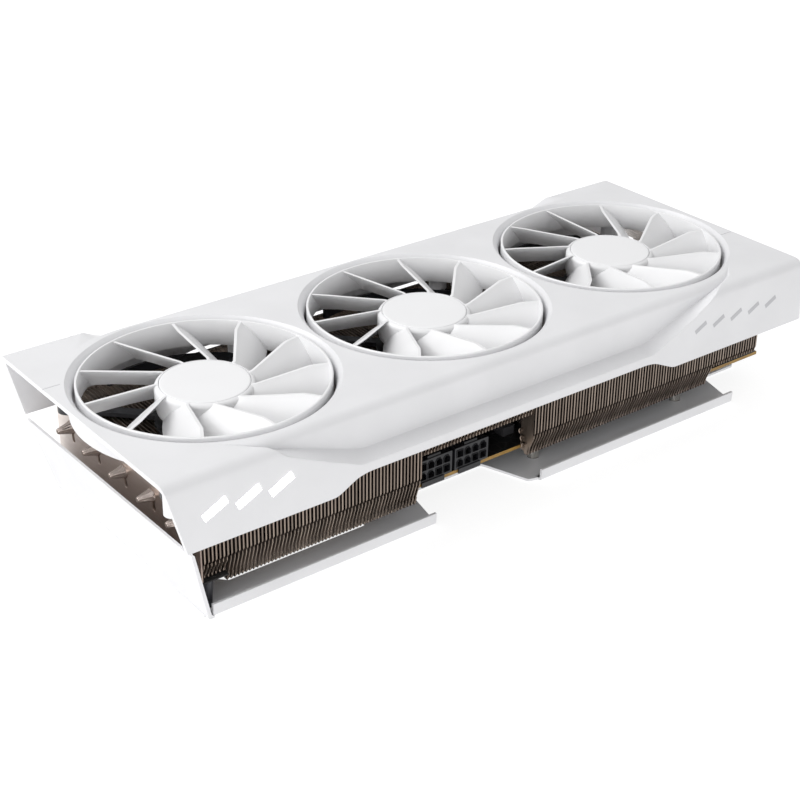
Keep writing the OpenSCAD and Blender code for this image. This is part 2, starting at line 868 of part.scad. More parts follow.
module clamp_springs() {
    turns = 3;
    step = (spring_room - 2 * wire_r) / (turns - 1);
    color("silver") place() at_clamp() for (i = [0:turns - 1])
        translate([0, 0, clamp_z - spring_room + wire_r + i * step])
            rotate_extrude() translate([spring_r - wire_r, 0]) circle(r = wire_r, $fn = 16);
}

module board_standoffs() {
    thread = 6;
    color("silver") place() for (p = standoff_spots)
        translate([p[0], p[1], plate_t]) difference() {
            cylinder(h = pcb_z - plate_t, r = 2.6);
            translate([0, 0, -1]) cylinder(h = thread + 1, r = screw_r);
        }
}

module backplate_screws() {
    length = 6;
    color("black") place() for (p = standoff_spots)
        translate([p[0], p[1], 0.05]) {
            cylinder(h = length, r = screw_r - 0.02);
            cylinder(h = screw_head_h, r = screw_head_r);
        }
}

// Posts that hold the fins' tail end off the backplate, each under a pad
post_x = -146.5;
post_y = [-53.5, 52];
tail_pad_t = 0.6;

module tail_posts() {
    top = short_bottom - tail_pad_t - 0.05;
    color([0.15, 0.15, 0.17]) place() for (y = post_y)
        translate([post_x, y, plate_t]) cylinder(h = top - plate_t, r1 = 1.4, r2 = 2.1);
}

module tail_pads() {
    half = 2.4;
    low = short_bottom - tail_pad_t;
    color([0.1, 0.1, 0.1]) place() for (y = post_y)
        block([tail_fins_x + 0.4, y - half, low], [short_x - 0.4, y + half, short_bottom]);
}

// ---------- fan leads ----------

module fan_leads() {
    y = 59.4;
    z = 43.5;
    under = base_z - 0.6;
    plug_x = 130;
    plug_top = 23.5;
    color([0.12, 0.12, 0.12]) place() {
        for (n = [0:2]) at_fan(n) {
            translate([0, y, under]) rotate([90, 0, 0]) cylinder(h = y - hub_r / 2, r = lead_r);
            translate([0, y, under]) sphere(r = lead_r + 0.08);
            translate([0, y, z]) cylinder(h = under - z, r = lead_r - 0.05);
        }
        translate([fan_x[0] - 3, y, z]) rotate([0, 90, 0]) cylinder(h = plug_x + 3 - fan_x[0], r = trunk_r);
        translate([plug_x, y, z]) sphere(r = trunk_r + 0.15);
        translate([plug_x, y, plug_top]) cylinder(h = z - plug_top, r = trunk_r - 0.1);
    }
}

module fan_lead_plugs() {
    color("ivory") place() block([126, 57.4, board_top], [134, 62, 23.5]);
}

module fan_rotor_1() { fan_rotor(0); }
module fan_rotor_2() { fan_rotor(1); }
module fan_rotor_3() { fan_rotor(2); }
module hub_cap_1() { hub_cap(0); }
module hub_cap_2() { hub_cap(1); }
module hub_cap_3() { hub_cap(2); }
module fan_shaft_1() { fan_shaft(0); }
module fan_shaft_2() { fan_shaft(1); }
module fan_shaft_3() { fan_shaft(2); }
module fan_bearing_1() { fan_bearing(0); }
module fan_bearing_2() { fan_bearing(1); }
module fan_bearing_3() { fan_bearing(2); }
module fan_stator_1() { fan_stator(0); }
module fan_stator_2() { fan_stator(1); }
module fan_stator_3() { fan_stator(2); }
module fan_base_1() { fan_base(0); }
module fan_base_2() { fan_base(1); }
module fan_base_3() { fan_base(2); }
module power_socket_1() { power_socket(0); }
module power_socket_2() { power_socket(1); }
module video_port_1() { video_port(0); }
module video_port_2() { video_port(1); }
module video_port_3() { video_port(2); }
module video_port_4() { video_port(3); }

shroud();
light_panel();
light_strip();
backplate();
fan_rotor_1();
fan_rotor_2();
fan_rotor_3();
hub_cap_1();
hub_cap_2();
hub_cap_3();
fan_shaft_1();
fan_shaft_2();
fan_shaft_3();
fan_bearing_1();
fan_bearing_2();
fan_bearing_3();
fan_stator_1();
fan_stator_2();
fan_stator_3();
fan_base_1();
fan_base_2();
fan_base_3();
fins_tail();
fins_middle();
fins_bracket();
end_plate_tail();
end_plate_bracket();
heat_pipes();
cold_plate();
circuit_board();
edge_contacts();
processor_package();
processor_die();
memory_chips();
memory_pads();
supply_coils();
supply_capacitors();
power_socket_1();
power_socket_2();
power_pins();
io_bracket();
video_port_1();
video_port_2();
video_port_3();
video_port_4();
clamp_cross();
clamp_screws();
clamp_springs();
board_standoffs();
backplate_screws();
bracket_screws();
fan_base_screws();
tail_posts();
tail_pads();
fan_leads();
fan_lead_plugs();
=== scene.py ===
import json
import math
import random

import bmesh
import bpy
import numpy as np
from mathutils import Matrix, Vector
from mathutils.geometry import delaunay_2d_cdt


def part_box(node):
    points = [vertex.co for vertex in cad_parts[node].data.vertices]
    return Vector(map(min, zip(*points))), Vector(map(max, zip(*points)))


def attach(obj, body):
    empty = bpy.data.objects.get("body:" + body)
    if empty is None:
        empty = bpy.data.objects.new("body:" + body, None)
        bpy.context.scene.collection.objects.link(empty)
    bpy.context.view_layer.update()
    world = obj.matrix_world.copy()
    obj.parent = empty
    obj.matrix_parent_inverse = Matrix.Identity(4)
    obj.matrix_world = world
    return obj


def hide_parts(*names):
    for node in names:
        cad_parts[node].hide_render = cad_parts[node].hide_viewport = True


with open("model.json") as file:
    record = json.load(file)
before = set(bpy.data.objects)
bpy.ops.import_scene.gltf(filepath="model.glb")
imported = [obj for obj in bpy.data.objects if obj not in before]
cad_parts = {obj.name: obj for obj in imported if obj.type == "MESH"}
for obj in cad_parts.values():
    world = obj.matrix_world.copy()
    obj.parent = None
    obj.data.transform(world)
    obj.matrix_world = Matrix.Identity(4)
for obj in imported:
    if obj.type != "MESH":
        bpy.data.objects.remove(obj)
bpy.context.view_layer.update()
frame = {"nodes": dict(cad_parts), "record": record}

JOINTS = {j["name"]: j for j in frame["record"]["behaviour"]["joints"]}
FAN_AT = [JOINTS["fan_%d_spin" % n]["pos_m"] for n in (1, 2, 3)]
# Everything below is in millimetres from the middle fan's axis, at the backplate's outer face.
AXIS_X, AXIS_Y = FAN_AT[1][0], FAN_AT[1][1]
FAN_X = [(p[0] - AXIS_X) * 1000 for p in FAN_AT]
rng = random.Random(7)


def metres(p):
    return (p[0] * 0.001 + AXIS_X, p[1] * 0.001 + AXIS_Y, p[2] * 0.001)


def node_box(name):
    """A CAD node's box in the same millimetres."""
    lo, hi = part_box(name)
    off = (AXIS_X, AXIS_Y, 0)
    return [[(c[i] - off[i]) * 1000 for i in range(3)] for c in (lo, hi)]


# ---------------------------------------------------------------- camera, floor, light

def add_camera():
    cam = bpy.data.objects.new("camera", bpy.data.cameras.new("camera"))
    bpy.context.scene.collection.objects.link(cam)
    cam.location = metres((-399.4, -492.7, 362.3))
    cam.rotation_euler = (math.radians(90 - 28.013), 0, math.radians(-36.525))
    cam.data.sensor_width = 36
    cam.data.lens = 72.1
    cam.data.shift_x = 0.049
    cam.data.shift_y = -0.011
    cam.data.clip_start = 0.01
    cam.data.clip_end = 50
    bpy.context.scene.camera = cam


def area_light(name, where, target, size, power, colour=(1, 1, 1)):
    lamp = bpy.data.lights.new(name, "AREA")
    lamp.shape = "RECTANGLE"
    lamp.size, lamp.size_y = size
    lamp.energy = power
    lamp.color = colour
    o = bpy.data.objects.new(name, lamp)
    bpy.context.scene.collection.objects.link(o)
    o.location = where
    o.rotation_euler = (Vector(target) - Vector(where)).to_track_quat("-Z", "Y").to_euler()


def add_studio():
    scene = bpy.context.scene
    scene.view_settings.view_transform = "Standard"
    world = bpy.data.worlds.new("studio")
    scene.world = world
    world.use_nodes = True
    back = world.node_tree.nodes["Background"]
    back.inputs["Color"].default_value = (1, 1, 1, 1)
    back.inputs["Strength"].default_value = 0.62
    area_light("key", (-1.0, 0.75, 1.45), (0, 0, 0.03), (1.3, 1.3), 20.0)
    area_light("tail", (-1.5, -0.9, 0.55), (-0.1, 0, 0.03), (1.0, 0.6), 6.0)


# ---------------------------------------------------------------- materials

class Shader:
    """Builds one procedural material."""

    def __init__(self, name):
        self.m = bpy.data.materials.new(name)
        self.m.use_nodes = True
        self.t = self.m.node_tree
        self.b = self.t.nodes["Principled BSDF"]
        self.coord = self.t.nodes.new("ShaderNodeTexCoord").outputs["Object"]

    def link(self, a, b):
        self.t.links.new(a, b)

    def noise(self, scale, detail=3.0, stretch=None, rough=0.5):
        n = self.t.nodes.new("ShaderNodeTexNoise")
        n.inputs["Scale"].default_value = scale
        n.inputs["Detail"].default_value = detail
        n.inputs["Roughness"].default_value = rough
        if stretch:
            mp = self.t.nodes.new("ShaderNodeMapping")
            mp.inputs["Scale"].default_value = stretch
            self.link(self.coord, mp.inputs["Vector"])
            self.link(mp.outputs["Vector"], n.inputs["Vector"])
        else:
            self.link(self.coord, n.inputs["Vector"])
        return n.outputs["Fac"]

    def ramp(self, fac, low, high, a=0.35, b=0.65):
        r = self.t.nodes.new("ShaderNodeMapRange")
        r.inputs["From Min"].default_value = a
        r.inputs["From Max"].default_value = b
        r.inputs["To Min"].default_value = low
        r.inputs["To Max"].default_value = high
        self.link(fac, r.inputs["Value"])
        return r.outputs["Result"]

    def mix(self, fac, a, b):
        m = self.t.nodes.new("ShaderNodeMix")
        m.data_type = "RGBA"
        # A Mix node keeps its colour sockets after those of its other data types
        colour_a, colour_b = m.inputs[6], m.inputs[7]
        for socket, value in ((colour_a, a), (colour_b, b)):
            if isinstance(value, tuple):
                socket.default_value = (*value, 1)
            else:
                self.link(value, socket)
        self.link(fac, m.inputs[0])
        return m.outputs[2]

    def bump(self, height, distance, strength=1.0, after=None):
        n = self.t.nodes.new("ShaderNodeBump")
        n.inputs["Strength"].default_value = strength
        n.inputs["Distance"].default_value = distance
        self.link(height, n.inputs["Height"])
        if after is not None:
            self.link(after, n.inputs["Normal"])
        return n.outputs["Normal"]


def tint(c, k):
    return tuple(min(1.0, x * k) for x in c)


def moulded(name, colour, rough=0.42, grain=2600, depth=0.000012, mottle=0.02, coat=0.0, metal=0.0):
    """Moulded or painted surface: fine grain, faint mottling and a little gloss variation."""
    s = Shader(name)
    s.link(s.mix(s.ramp(s.noise(38), 0, 1), tint(colour, 1 - mottle), tint(colour, 1 + mottle)),
           s.b.inputs["Base Color"])
    s.link(s.ramp(s.noise(120, 4), rough - 0.05, rough + 0.05), s.b.inputs["Roughness"])
    s.link(s.bump(s.noise(grain, 2), depth), s.b.inputs["Normal"])
    s.b.inputs["Metallic"].default_value = metal
    s.b.inputs["Coat Weight"].default_value = coat
    s.b.inputs["Coat Roughness"].default_value = 0.25
    return s.m


def brushed(name, colour, rough=0.32, along=0, depth=0.000006, mottle=0.12, metal=0.95):
    """Rolled or brushed metal: fine streaks along one axis and cloudy stains."""
    s = Shader(name)
    stretch = [1.0, 1.0, 1.0]
    stretch[along] = 0.03
    streak = s.noise(2400, 3, tuple(stretch))
    cloud = s.noise(45, 4)
    base = s.mix(s.ramp(cloud, 0, 1), tint(colour, 1 - mottle), tint(colour, 1 + mottle))
    s.link(s.mix(s.ramp(streak, 0, 0.22), base, tint(colour, 0.75)), s.b.inputs["Base Color"])
    s.link(s.ramp(streak, rough - 0.04, rough + 0.05), s.b.inputs["Roughness"])
    s.link(s.bump(streak, depth * 0.3), s.b.inputs["Normal"])
    s.b.inputs["Metallic"].default_value = metal
    return s.m


def fin_metal():
    """Nickel-plated fins: each fin a little lighter or darker than the next, with cloudy stains."""
    s = Shader("fin_metal")
    colour = (0.30, 0.245, 0.205)
    per_fin = s.noise(420, 0, (1, 0.002, 0.002))
    cloud = s.noise(30, 3)
    base = s.mix(s.ramp(per_fin, 0, 1), tint(colour, 0.72), tint(colour, 1.35))
    s.link(s.mix(s.ramp(cloud, 0, 0.4), base, (0.20, 0.15, 0.12)), s.b.inputs["Base Color"])
    s.link(s.ramp(s.noise(900, 3, (1, 1, 0.1)), 0.3, 0.48), s.b.inputs["Roughness"])
    s.b.inputs["Metallic"].default_value = 0.9
    return s.m


def plate_metal():
    """The fins' end plates: brown nickel, with a painted highlight that makes them lighter towards the far
    end.
    """
    s = Shader("plate_metal")
    sep = s.t.nodes.new("ShaderNodeSeparateXYZ")
    s.link(s.coord, sep.inputs["Vector"])
    # Painted highlight: the colour ramps from brown to near white towards the far end
    along = s.ramp(sep.outputs["Y"], 0, 1, -0.07, 0.055)
    base = s.mix(along, (0.36, 0.285, 0.245), (0.90, 0.82, 0.77))
    streak = s.noise(1800, 3, (1, 0.04, 1))
    s.link(s.mix(s.ramp(streak, 0, 0.08), base, (0.36, 0.29, 0.25)), s.b.inputs["Base Color"])
    s.link(s.ramp(streak, 0.3, 0.38), s.b.inputs["Roughness"])
    s.link(s.bump(streak, 0.000002), s.b.inputs["Normal"])
    s.b.inputs["Metallic"].default_value = 0.95
    return s.m


def laminate():
    """Circuit board: black lacquer with faint traces, and bare gold-brown laminate on its edges."""
    s = Shader("board_laminate")
    geo = s.t.nodes.new("ShaderNodeNewGeometry")
    sep = s.t.nodes.new("ShaderNodeSeparateXYZ")
    s.link(geo.outputs["Normal"], sep.inputs["Vector"])
    up = s.t.nodes.new("ShaderNodeMath")
    up.operation = "ABSOLUTE"
    s.link(sep.outputs["Z"], up.inputs[0])
    edge = s.ramp(up.outputs["Value"], 1, 0, 0.45, 0.55)
    brick = s.t.nodes.new("ShaderNodeTexVoronoi")
    brick.feature = "DISTANCE_TO_EDGE"
    brick.distance = "MANHATTAN"
    brick.inputs["Scale"].default_value = 190
    s.link(s.coord, brick.inputs["Vector"])
    trace = s.ramp(brick.outputs["Distance"], 1, 0, 0.03, 0.05)
    face = s.mix(trace, (0.012, 0.012, 0.013), (0.03, 0.031, 0.03))
    ply = s.noise(2200, 2, (0.1, 0.1, 1.5))
    rim = s.mix(s.ramp(ply, 0, 1), (0.24, 0.125, 0.018), (0.42, 0.25, 0.05))
    s.link(s.mix(edge, face, rim), s.b.inputs["Base Color"])
    s.link(s.ramp(s.noise(300, 2), 0.32, 0.45), s.b.inputs["Roughness"])
    s.link(s.bump(trace, 0.00003), s.b.inputs["Normal"])
    return s.m


def glowing():
    """Diffuser lit from behind, its glow faintly mottled."""
    s = Shader("light_diffuser")
    soft = s.ramp(s.noise(150, 2), 0.96, 1.0)
    s.link(s.mix(soft, (0.9, 0.93, 1.0), (1, 1, 1)), s.b.inputs["Base Color"])
    s.link(s.mix(soft, (0.9, 0.95, 1.0), (1, 1, 1)), s.b.inputs["Emission Color"])
    s.b.inputs["Emission Strength"].default_value = 2.6
    s.b.inputs["Roughness"].default_value = 0.3
    return s.m


def floor_finish():
    s = Shader("floor")
    cloud = s.ramp(s.noise(3, 2), 0, 1)
    s.link(s.mix(cloud, (0.3, 0.3, 0.3), (0.32, 0.32, 0.32)), s.b.inputs["Base Color"])
    s.b.inputs["Roughness"].default_value = 0.9
    s.b.inputs["Specular IOR Level"].default_value = 0.1
    s.b.inputs["Emission Color"].default_value = (1, 1, 1, 1)
    s.b.inputs["Emission Strength"].default_value = 0.84
    return s.m


WHITE = (0.79, 0.79, 0.805)
MATERIALS = {
    "white_shroud": moulded("white_shroud", WHITE, 0.36, depth=0.000005, coat=0.15),
    "white_fan": moulded("white_fan", (0.85, 0.85, 0.86), 0.34, depth=0.000002, coat=0.15),
    "white_cap": moulded("white_cap", (0.87, 0.87, 0.88), 0.34, 1300, 0.000001, 0.008, coat=0.1),
    "white_sheet": moulded("white_sheet", (0.78, 0.78, 0.795), 0.42, 1500, 0.00002),
    "light_diffuser": glowing(),
    "strip_board": moulded("strip_board", (0.6, 0.62, 0.6), 0.4),
    "fin_metal": fin_metal(),
    "plate_metal": plate_metal(),
    "pipe_metal": brushed("pipe_metal", (0.62, 0.53, 0.48), 0.22, 0, 0.000001, 0.05),
    "board_laminate": laminate(),
    "contact_gold": brushed("contact_gold", (0.83, 0.58, 0.2), 0.22, 1),
    "chip_carrier": moulded("chip_carrier", (0.02, 0.09, 0.045), 0.35),
    "chip_silicon": moulded("chip_silicon", (0.10, 0.11, 0.14), 0.12, 500, 0.000002, coat=0.6),
    "chip_black": moulded("chip_black", (0.02, 0.02, 0.021), 0.55),
    "thermal_pad": moulded("thermal_pad", (0.33, 0.40, 0.47), 0.75, 900, 0.00004, 0.08),
    "coil_ferrite": moulded("coil_ferrite", (0.06, 0.06, 0.065), 0.6, 700, 0.00005, 0.2),
    "capacitor_can": brushed("capacitor_can", (0.7, 0.7, 0.71), 0.28, 2),
    "socket_black": moulded("socket_black", (0.014, 0.014, 0.017), 0.34, 1800, 0.00001, 0.1),
    "bracket_steel": brushed("bracket_steel", (0.62, 0.62, 0.62), 0.3, 1),
    "port_shell": brushed("port_shell", (0.55, 0.55, 0.56), 0.26, 0),
    "screw_steel": brushed("screw_steel", (0.45, 0.45, 0.46), 0.3, 2),
    "spring_steel": brushed("spring_steel", (0.55, 0.55, 0.56), 0.25, 2),
    "standoff_steel": brushed("standoff_steel", (0.62, 0.6, 0.56), 0.3, 2),
    "screw_black": moulded("screw_black", (0.025, 0.025, 0.027), 0.3, 1400, 0.00001, 0.15, metal=0.6),
    "post_black": moulded("post_black", (0.035, 0.036, 0.042), 0.4),
    "pad_rubber": moulded("pad_rubber", (0.02, 0.02, 0.02), 0.8, 1200, 0.00004, 0.2),
    "lead_black": moulded("lead_black", (0.018, 0.018, 0.018), 0.5, 1500, 0.00002, 0.2),
    "plug_ivory": moulded("plug_ivory", (0.7, 0.67, 0.56), 0.4),
    "shaft_steel": brushed("shaft_steel", (0.7, 0.7, 0.7), 0.15, 2),
    "bearing_bronze": brushed("bearing_bronze", (0.5, 0.3, 0.12), 0.35, 2),
    "stator_steel": brushed("stator_steel", (0.2, 0.2, 0.21), 0.4, 2),
    "base_black": moulded("base_black", (0.02, 0.021, 0.024), 0.38, 1800, 0.000015, 0.12),
    "print_grey": moulded("print_grey", (0.53, 0.53, 0.55), 0.4),
}


# ---------------------------------------------------------------- mesh building

class Solid:
    """Collects the points and faces of one piece."""

    def __init__(self):
        self.v = []
        self.f = []

    def add(self, verts, faces):
        n = len(self.v)
        self.v.extend(verts)
        self.f.extend([tuple(i + n for i in f) for f in faces])

    def box(self, lo, hi):
        x0, y0, z0 = lo
        x1, y1, z1 = hi
        self.add([(x0, y0, z0), (x1, y0, z0), (x1, y1, z0), (x0, y1, z0),
                  (x0, y0, z1), (x1, y0, z1), (x1, y1, z1), (x0, y1, z1)],
                 [(0, 3, 2, 1), (4, 5, 6, 7), (0, 1, 5, 4),
                  (1, 2, 6, 5), (2, 3, 7, 6), (3, 0, 4, 7)])

    def prism(self, ring_a, ring_b):
        """A closed body between two matching closed outlines."""
        n = len(ring_a)
        faces = [(i, (i + 1) % n, n + (i + 1) % n, n + i) for i in range(n)]
        self.add(list(ring_a) + list(ring_b), faces + [tuple(range(n))[::-1], tuple(range(n, 2 * n))])

    def loft(self, rings, closed=True, caps=True, loop=False):
        n = len(rings[0])
        verts = [p for r in rings for p in r]
        faces = []
        last = len(rings) if loop else len(rings) - 1
        for j in range(last):
            k = (j + 1) % len(rings)
            for i in range(n if closed else n - 1):
                i2 = (i + 1) % n
                faces.append((j * n + i, j * n + i2, k * n + i2, k * n + i))
        if caps and closed and not loop:
            faces.append(tuple(range(n))[::-1])
            faces.append(tuple(range((len(rings) - 1) * n, len(rings) * n)))
        self.add(verts, faces)

    def revolve(self, profile, cx, cy, steps=96, closed_profile=True):
        """Turns an (r, z) outline about a vertical axis. Points at r = 0 close the body."""
        rings = []
        for s in range(steps):
            a = 2 * math.pi * s / steps
            rings.append([(cx + r * math.cos(a), cy + r * math.sin(a), z) for r, z in profile])
        self.loft(rings, closed=closed_profile, caps=False, loop=True)

    def sheet(self, outer, holes, to3d, low, high, walls=True):
        """A flat plate with holes: 2-D outlines that to3d(u, v, w) places, from low to high."""
        loops = [outer] + list(holes)
        pts = []
        edges = []
        for loop in loops:
            n = len(pts)
            pts.extend(loop)
            edges.extend([(n + i, n + (i + 1) % len(loop)) for i in range(len(loop))])
        vs, _, tris, _, _, _ = delaunay_2d_cdt([Vector(p) for p in pts], edges, [], 0, 1e-6)
        keep = []
        for t in tris:
            c = tuple((vs[t[0]][k] + vs[t[1]][k] + vs[t[2]][k]) / 3 for k in (0, 1))
            if inside(c, outer) and not any(inside(c, h) for h in holes):
                keep.append(tuple(t))
        n = len(vs)
        verts = [to3d(p[0], p[1], high) for p in vs]
        faces = [tuple(t) for t in keep]
        if walls:
            verts += [to3d(p[0], p[1], low) for p in vs]
            faces += [tuple(i + n for i in t[::-1]) for t in keep]
        self.add(verts, faces)
        if walls:
            for k, loop in enumerate(loops):
                m = len(loop)
                top = [to3d(p[0], p[1], high) for p in loop]
                bottom = [to3d(p[0], p[1], low) for p in loop]
                self.add(top + bottom, [(i, m + i, m + (i + 1) % m, (i + 1) % m) for i in range(m)])

    def done(self, name, material, nodes=(), body="card", angle=32, bevel=0, segments=2):
        """Makes the object, gives it its material and body, and hides the CAD nodes that it stands for."""
        me = bpy.data.meshes.new(name)
        me.from_pydata([metres(p) for p in self.v], [], self.f)
        bm = bmesh.new()
        bm.from_mesh(me)
        bmesh.ops.remove_doubles(bm, verts=bm.verts, dist=2e-6)
        bmesh.ops.dissolve_degenerate(bm, edges=bm.edges, dist=1e-6)
        bmesh.ops.recalc_face_normals(bm, faces=bm.faces)
        bm.to_mesh(me)
        bm.free()
        o = bpy.data.objects.new(name, me)
        bpy.context.scene.collection.objects.link(o)
        me.materials.append(MATERIALS[material])
        if bevel:
            add_bevel(o, bevel, segments)
        smooth(o, angle)
        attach(o, body)
        if nodes:
            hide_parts(*nodes)
        return o


def add_bevel(o, width, segments=2, angle=35):
    b = o.modifiers.new("edge", "BEVEL")
    b.width = width * 0.001
    b.segments = segments
    b.limit_method = "ANGLE"
    b.angle_limit = math.radians(angle)
    b.harden_normals = False


def smooth(o, angle=32):
    me = o.data
    me.polygons.foreach_set("use_smooth", [True] * len(me.polygons))
    me.set_sharp_from_angle(angle=math.radians(angle))


def inside(p, loop):
    x, y = p
    hit = False
    n = len(loop)
    for i in range(n):
        x0, y0 = loop[i]
        x1, y1 = loop[(i + 1) % n]
        if (y0 > y) != (y1 > y) and x < (x1 - x0) * (y - y0) / (y1 - y0) + x0:
            hit = not hit
    return hit


def circle(cx, cy, r, n=96):
    step = 2 * math.pi / n
    return [(cx + r * math.cos(step * i), cy + r * math.sin(step * i)) for i in range(n)]


def rounded(points, radius, n=5):
    """Rounds a polygon's corners. radius is one number or one a corner."""
    out = []
    count = len(points)
    for i, p in enumerate(points):
        r = radius[i] if isinstance(radius, (list, tuple)) else radius
        a, b = points[i - 1], points[(i + 1) % count]
        if r <= 0:
            out.append(p)
            continue
        u = Vector((a[0] - p[0], a[1] - p[1]))
        w = Vector((b[0] - p[0], b[1] - p[1]))
        lu, lw = u.length, w.length
        u.normalize()
        w.normalize()
        half = math.acos(max(-1, min(1, u.dot(w)))) / 2
        d = min(r / math.tan(half), lu * 0.45, lw * 0.45)
        start, end = Vector(p) + u * d, Vector(p) + w * d
        for k in range(n + 1):
            t = k / n
            q = start * (1 - t) ** 2 + Vector(p) * 2 * t * (1 - t) + end * t ** 2
            out.append((q.x, q.y))
    return out


def arc(cx, cy, r, a0, a1, n):
    return [(cx + r * math.cos(math.radians(a0 + (a1 - a0) * i / n)),
             cy + r * math.sin(math.radians(a0 + (a1 - a0) * i / n))) for i in range(n + 1)]


def soft(xs, ys, x, blur=1.6):
    """A table read with its corners rounded off."""
    return sum(np.interp(x + d * blur, xs, ys) for d in (-1, -0.5, 0, 0.5, 1)) / 5


# ---------------------------------------------------------------- shroud

TOP = node_box("shroud")[1][2]
TAIL = node_box("shroud")[0][0]
END = node_box("shroud")[1][0]
NEAR = node_box("shroud")[0][1]
FAR = node_box("shroud")[1][1]
WALL_Z = node_box("shroud")[0][2]
RING_R = (node_box("fan_rotor_2")[1][0] - node_box("fan_rotor_2")[0][0]) / 2
DUCT_R = RING_R + 1.1
DUCT_Z = 56.0
COLLAR = 2.7
SLANT = 7 / (TOP - WALL_Z)
NEAR_LEAN = 0.107
LUG_R = DUCT_R + 2 + 3.6


def wall_bottom(x):
    """Height of the side walls' lower edge: raised in the middle."""
    return soft([TAIL, -96.6, -86.5, -81, 69.6, 74.6, 85.6, END],
                [WALL_Z, WALL_Z, 44.4, 45.3, 45.3, 44.6, WALL_Z, WALL_Z], x, 1.4)


class Side:
    """One long side of the shroud, from the wall's foot over the scoop to the flat top."""

    def __init__(self, sign, wall, edge_r, lean, ridge, fold, side, shrink):
        self.sign, self.wall, self.edge_r, self.lean = sign, wall, edge_r, math.atan(lean)
        self.ridge, self.fold, self.side, self.shrink = ridge, fold, side, shrink
        self.mid_z = TOP - edge_r
        self.mid_y = wall - lean * (self.mid_z - WALL_Z) - edge_r / math.cos(self.lean)
        self.straight = (self.mid_z + edge_r * math.sin(self.lean) - WALL_Z) / math.cos(self.lean)

    def outer(self, s):
        """A point (y, z) on the end blocks' cross-section, s along it from the wall's lowest height."""
        if s < self.straight:
            return (self.wall - s * math.sin(self.lean), WALL_Z + s * math.cos(self.lean))
        bend = self.edge_r * (math.pi / 2 - self.lean)
        if s < self.straight + bend:
            a = self.lean + (s - self.straight) / self.edge_r
            return (self.mid_y + self.edge_r * math.cos(a), self.mid_z + self.edge_r * math.sin(a))
        return (self.mid_y - (s - self.straight - bend), TOP)

    def profile(self, x):
        """Points from the wall's foot to the flat top's border at one x, with y outwards until the end."""
        s_ridge = soft(self.ridge[0], self.ridge[1], x)
        s_low = (wall_bottom(x) - WALL_Z) / math.cos(self.lean)
        soften = 0.35
        count = 30
        pts = [self.outer(s_low + (s_ridge - soften - s_low) * i / (count - 1)) for i in range(count)]
        r = np.array(self.outer(s_ridge))
        side = soft(self.side[0], self.side[1], x)
        body_r = soft(self.shrink[0], self.shrink[1], x, 0.8)
        fold_z = soft(self.fold[0], self.fold[1], x)

        def body_y(z):
            over = z - (TOP - body_r)
            return side if over <= 0 else side - body_r + math.sqrt(max(0, body_r ** 2 - over ** 2))
        f = np.array((body_y(fold_z), fold_z))
        span = np.linalg.norm(f - r)
        k = min(0.35, soften / max(span, 0.01))
        before = np.array(pts[-1])
        pts.append(tuple(0.25 * before + 0.5 * r + 0.25 * (r + (f - r) * k)))
        for t in (k, 0.35 + k * 0.4, 0.65, 1 - k * 0.8):
            pts.append(tuple(r + (f - r) * t))
        # The body's wall above the fold, then its rounded upper edge
        knee = TOP - body_r
        if fold_z < knee:
            for t in (0.06, 0.5, 0.97):
                pts.append((side, fold_z + (knee - fold_z) * t))
            a0 = 0.0
        else:
            a0 = math.asin(min(1, (fold_z - knee) / max(body_r, 1e-6)))
            for t in (0.02, 0.05, 0.08):
                a = a0 + (math.pi / 2 - a0) * t
                pts.append((side - body_r + body_r * math.cos(a), knee + body_r * math.sin(a)))
            a0 = a0 + (math.pi / 2 - a0) * 0.08
        steps = 9
        for i in range(steps + 1):
            a = a0 + (math.pi / 2 - a0) * i / steps
            pts.append((side - body_r + body_r * math.cos(a), knee + body_r * math.sin(a)))
        return [(self.sign * y, min(z, TOP)) for y, z in pts]


def shroud_sides():
    near = Side(-1, -NEAR, 4.4, NEAR_LEAN,
                ridge=([-170, -141.7, -134.5, -130, -127.1, -123.9, -118, -107.8, -97.6, -84.1,
                        74.1, 83.7, 91.9, 100.2, 107.7, 120.8, 127.5, 131, 136.1, 171],
                       [46.5, 46.5, 40.1, 35.5, 32.4, 30.2, 24.4, 19.7, 15.1, 9.5, 9.5, 13.2, 16.6, 20.2,
                        24.1, 32.1, 34.0, 37.0, 42.2, 42.2]),
                fold=([-170, -141.7, -136, -131, -124.2, -106.6, -78.6,
                       75.7, 98.9, 118.7, 125, 131, 136.1, 171],
                      [TOP, TOP, 68.1, 67.5, 65.9, 60.6, 51.0, 51.0, 59.6, 65.7, 66.8, 67.7, TOP, TOP]),
                side=([-170, -141.7, -136, -131, -124.2, -118, 118, 125, 131, 136.1, 171],
                      [47.3, 47.3, 53.2, 57.2, 60.2, 60.5, 60.5, 59.6, 57.3, 51.6, 51.6]),
                shrink=([-170, -141.7, -136, -131, -124.2, -116, 116, 125, 131, 136.1, 171],
                        [0.2, 0.2, 2.2, 3.2, 3.9, 4, 4, 3.8, 3.0, 0.6, 0.6]))
    far = Side(1, FAR, 1.1, 0.0,
               ridge=([-170, -142, -134, -129.5, -92, 80, 118, 127, 131, 136, 171],
                      [40.1, 40.1, 29.4, 26.7, 10.2, 10.2, 24.5, 28.0, 29.7, 35.1, 35.1]),
               fold=([-170, -142, -134, -124, -84, 84, 111, 131, 136, 171],
                     [TOP, TOP, 68.0, 66.9, 51.0, 51.0, 62, 67.9, TOP, TOP]),
               side=([-170, -142, -134, -124, -118, 111, 131, 136, 171],
                     [51, 51, 55.8, 58.2, 58.5, 58.5, 58.0, 56, 56]),
               shrink=([-170, -142, -134, -124, 124, 131, 136, 171],
                       [0.2, 0.2, 1.6, 2.7, 2.7, 2.0, 0.3, 0.3]))
    return near, far


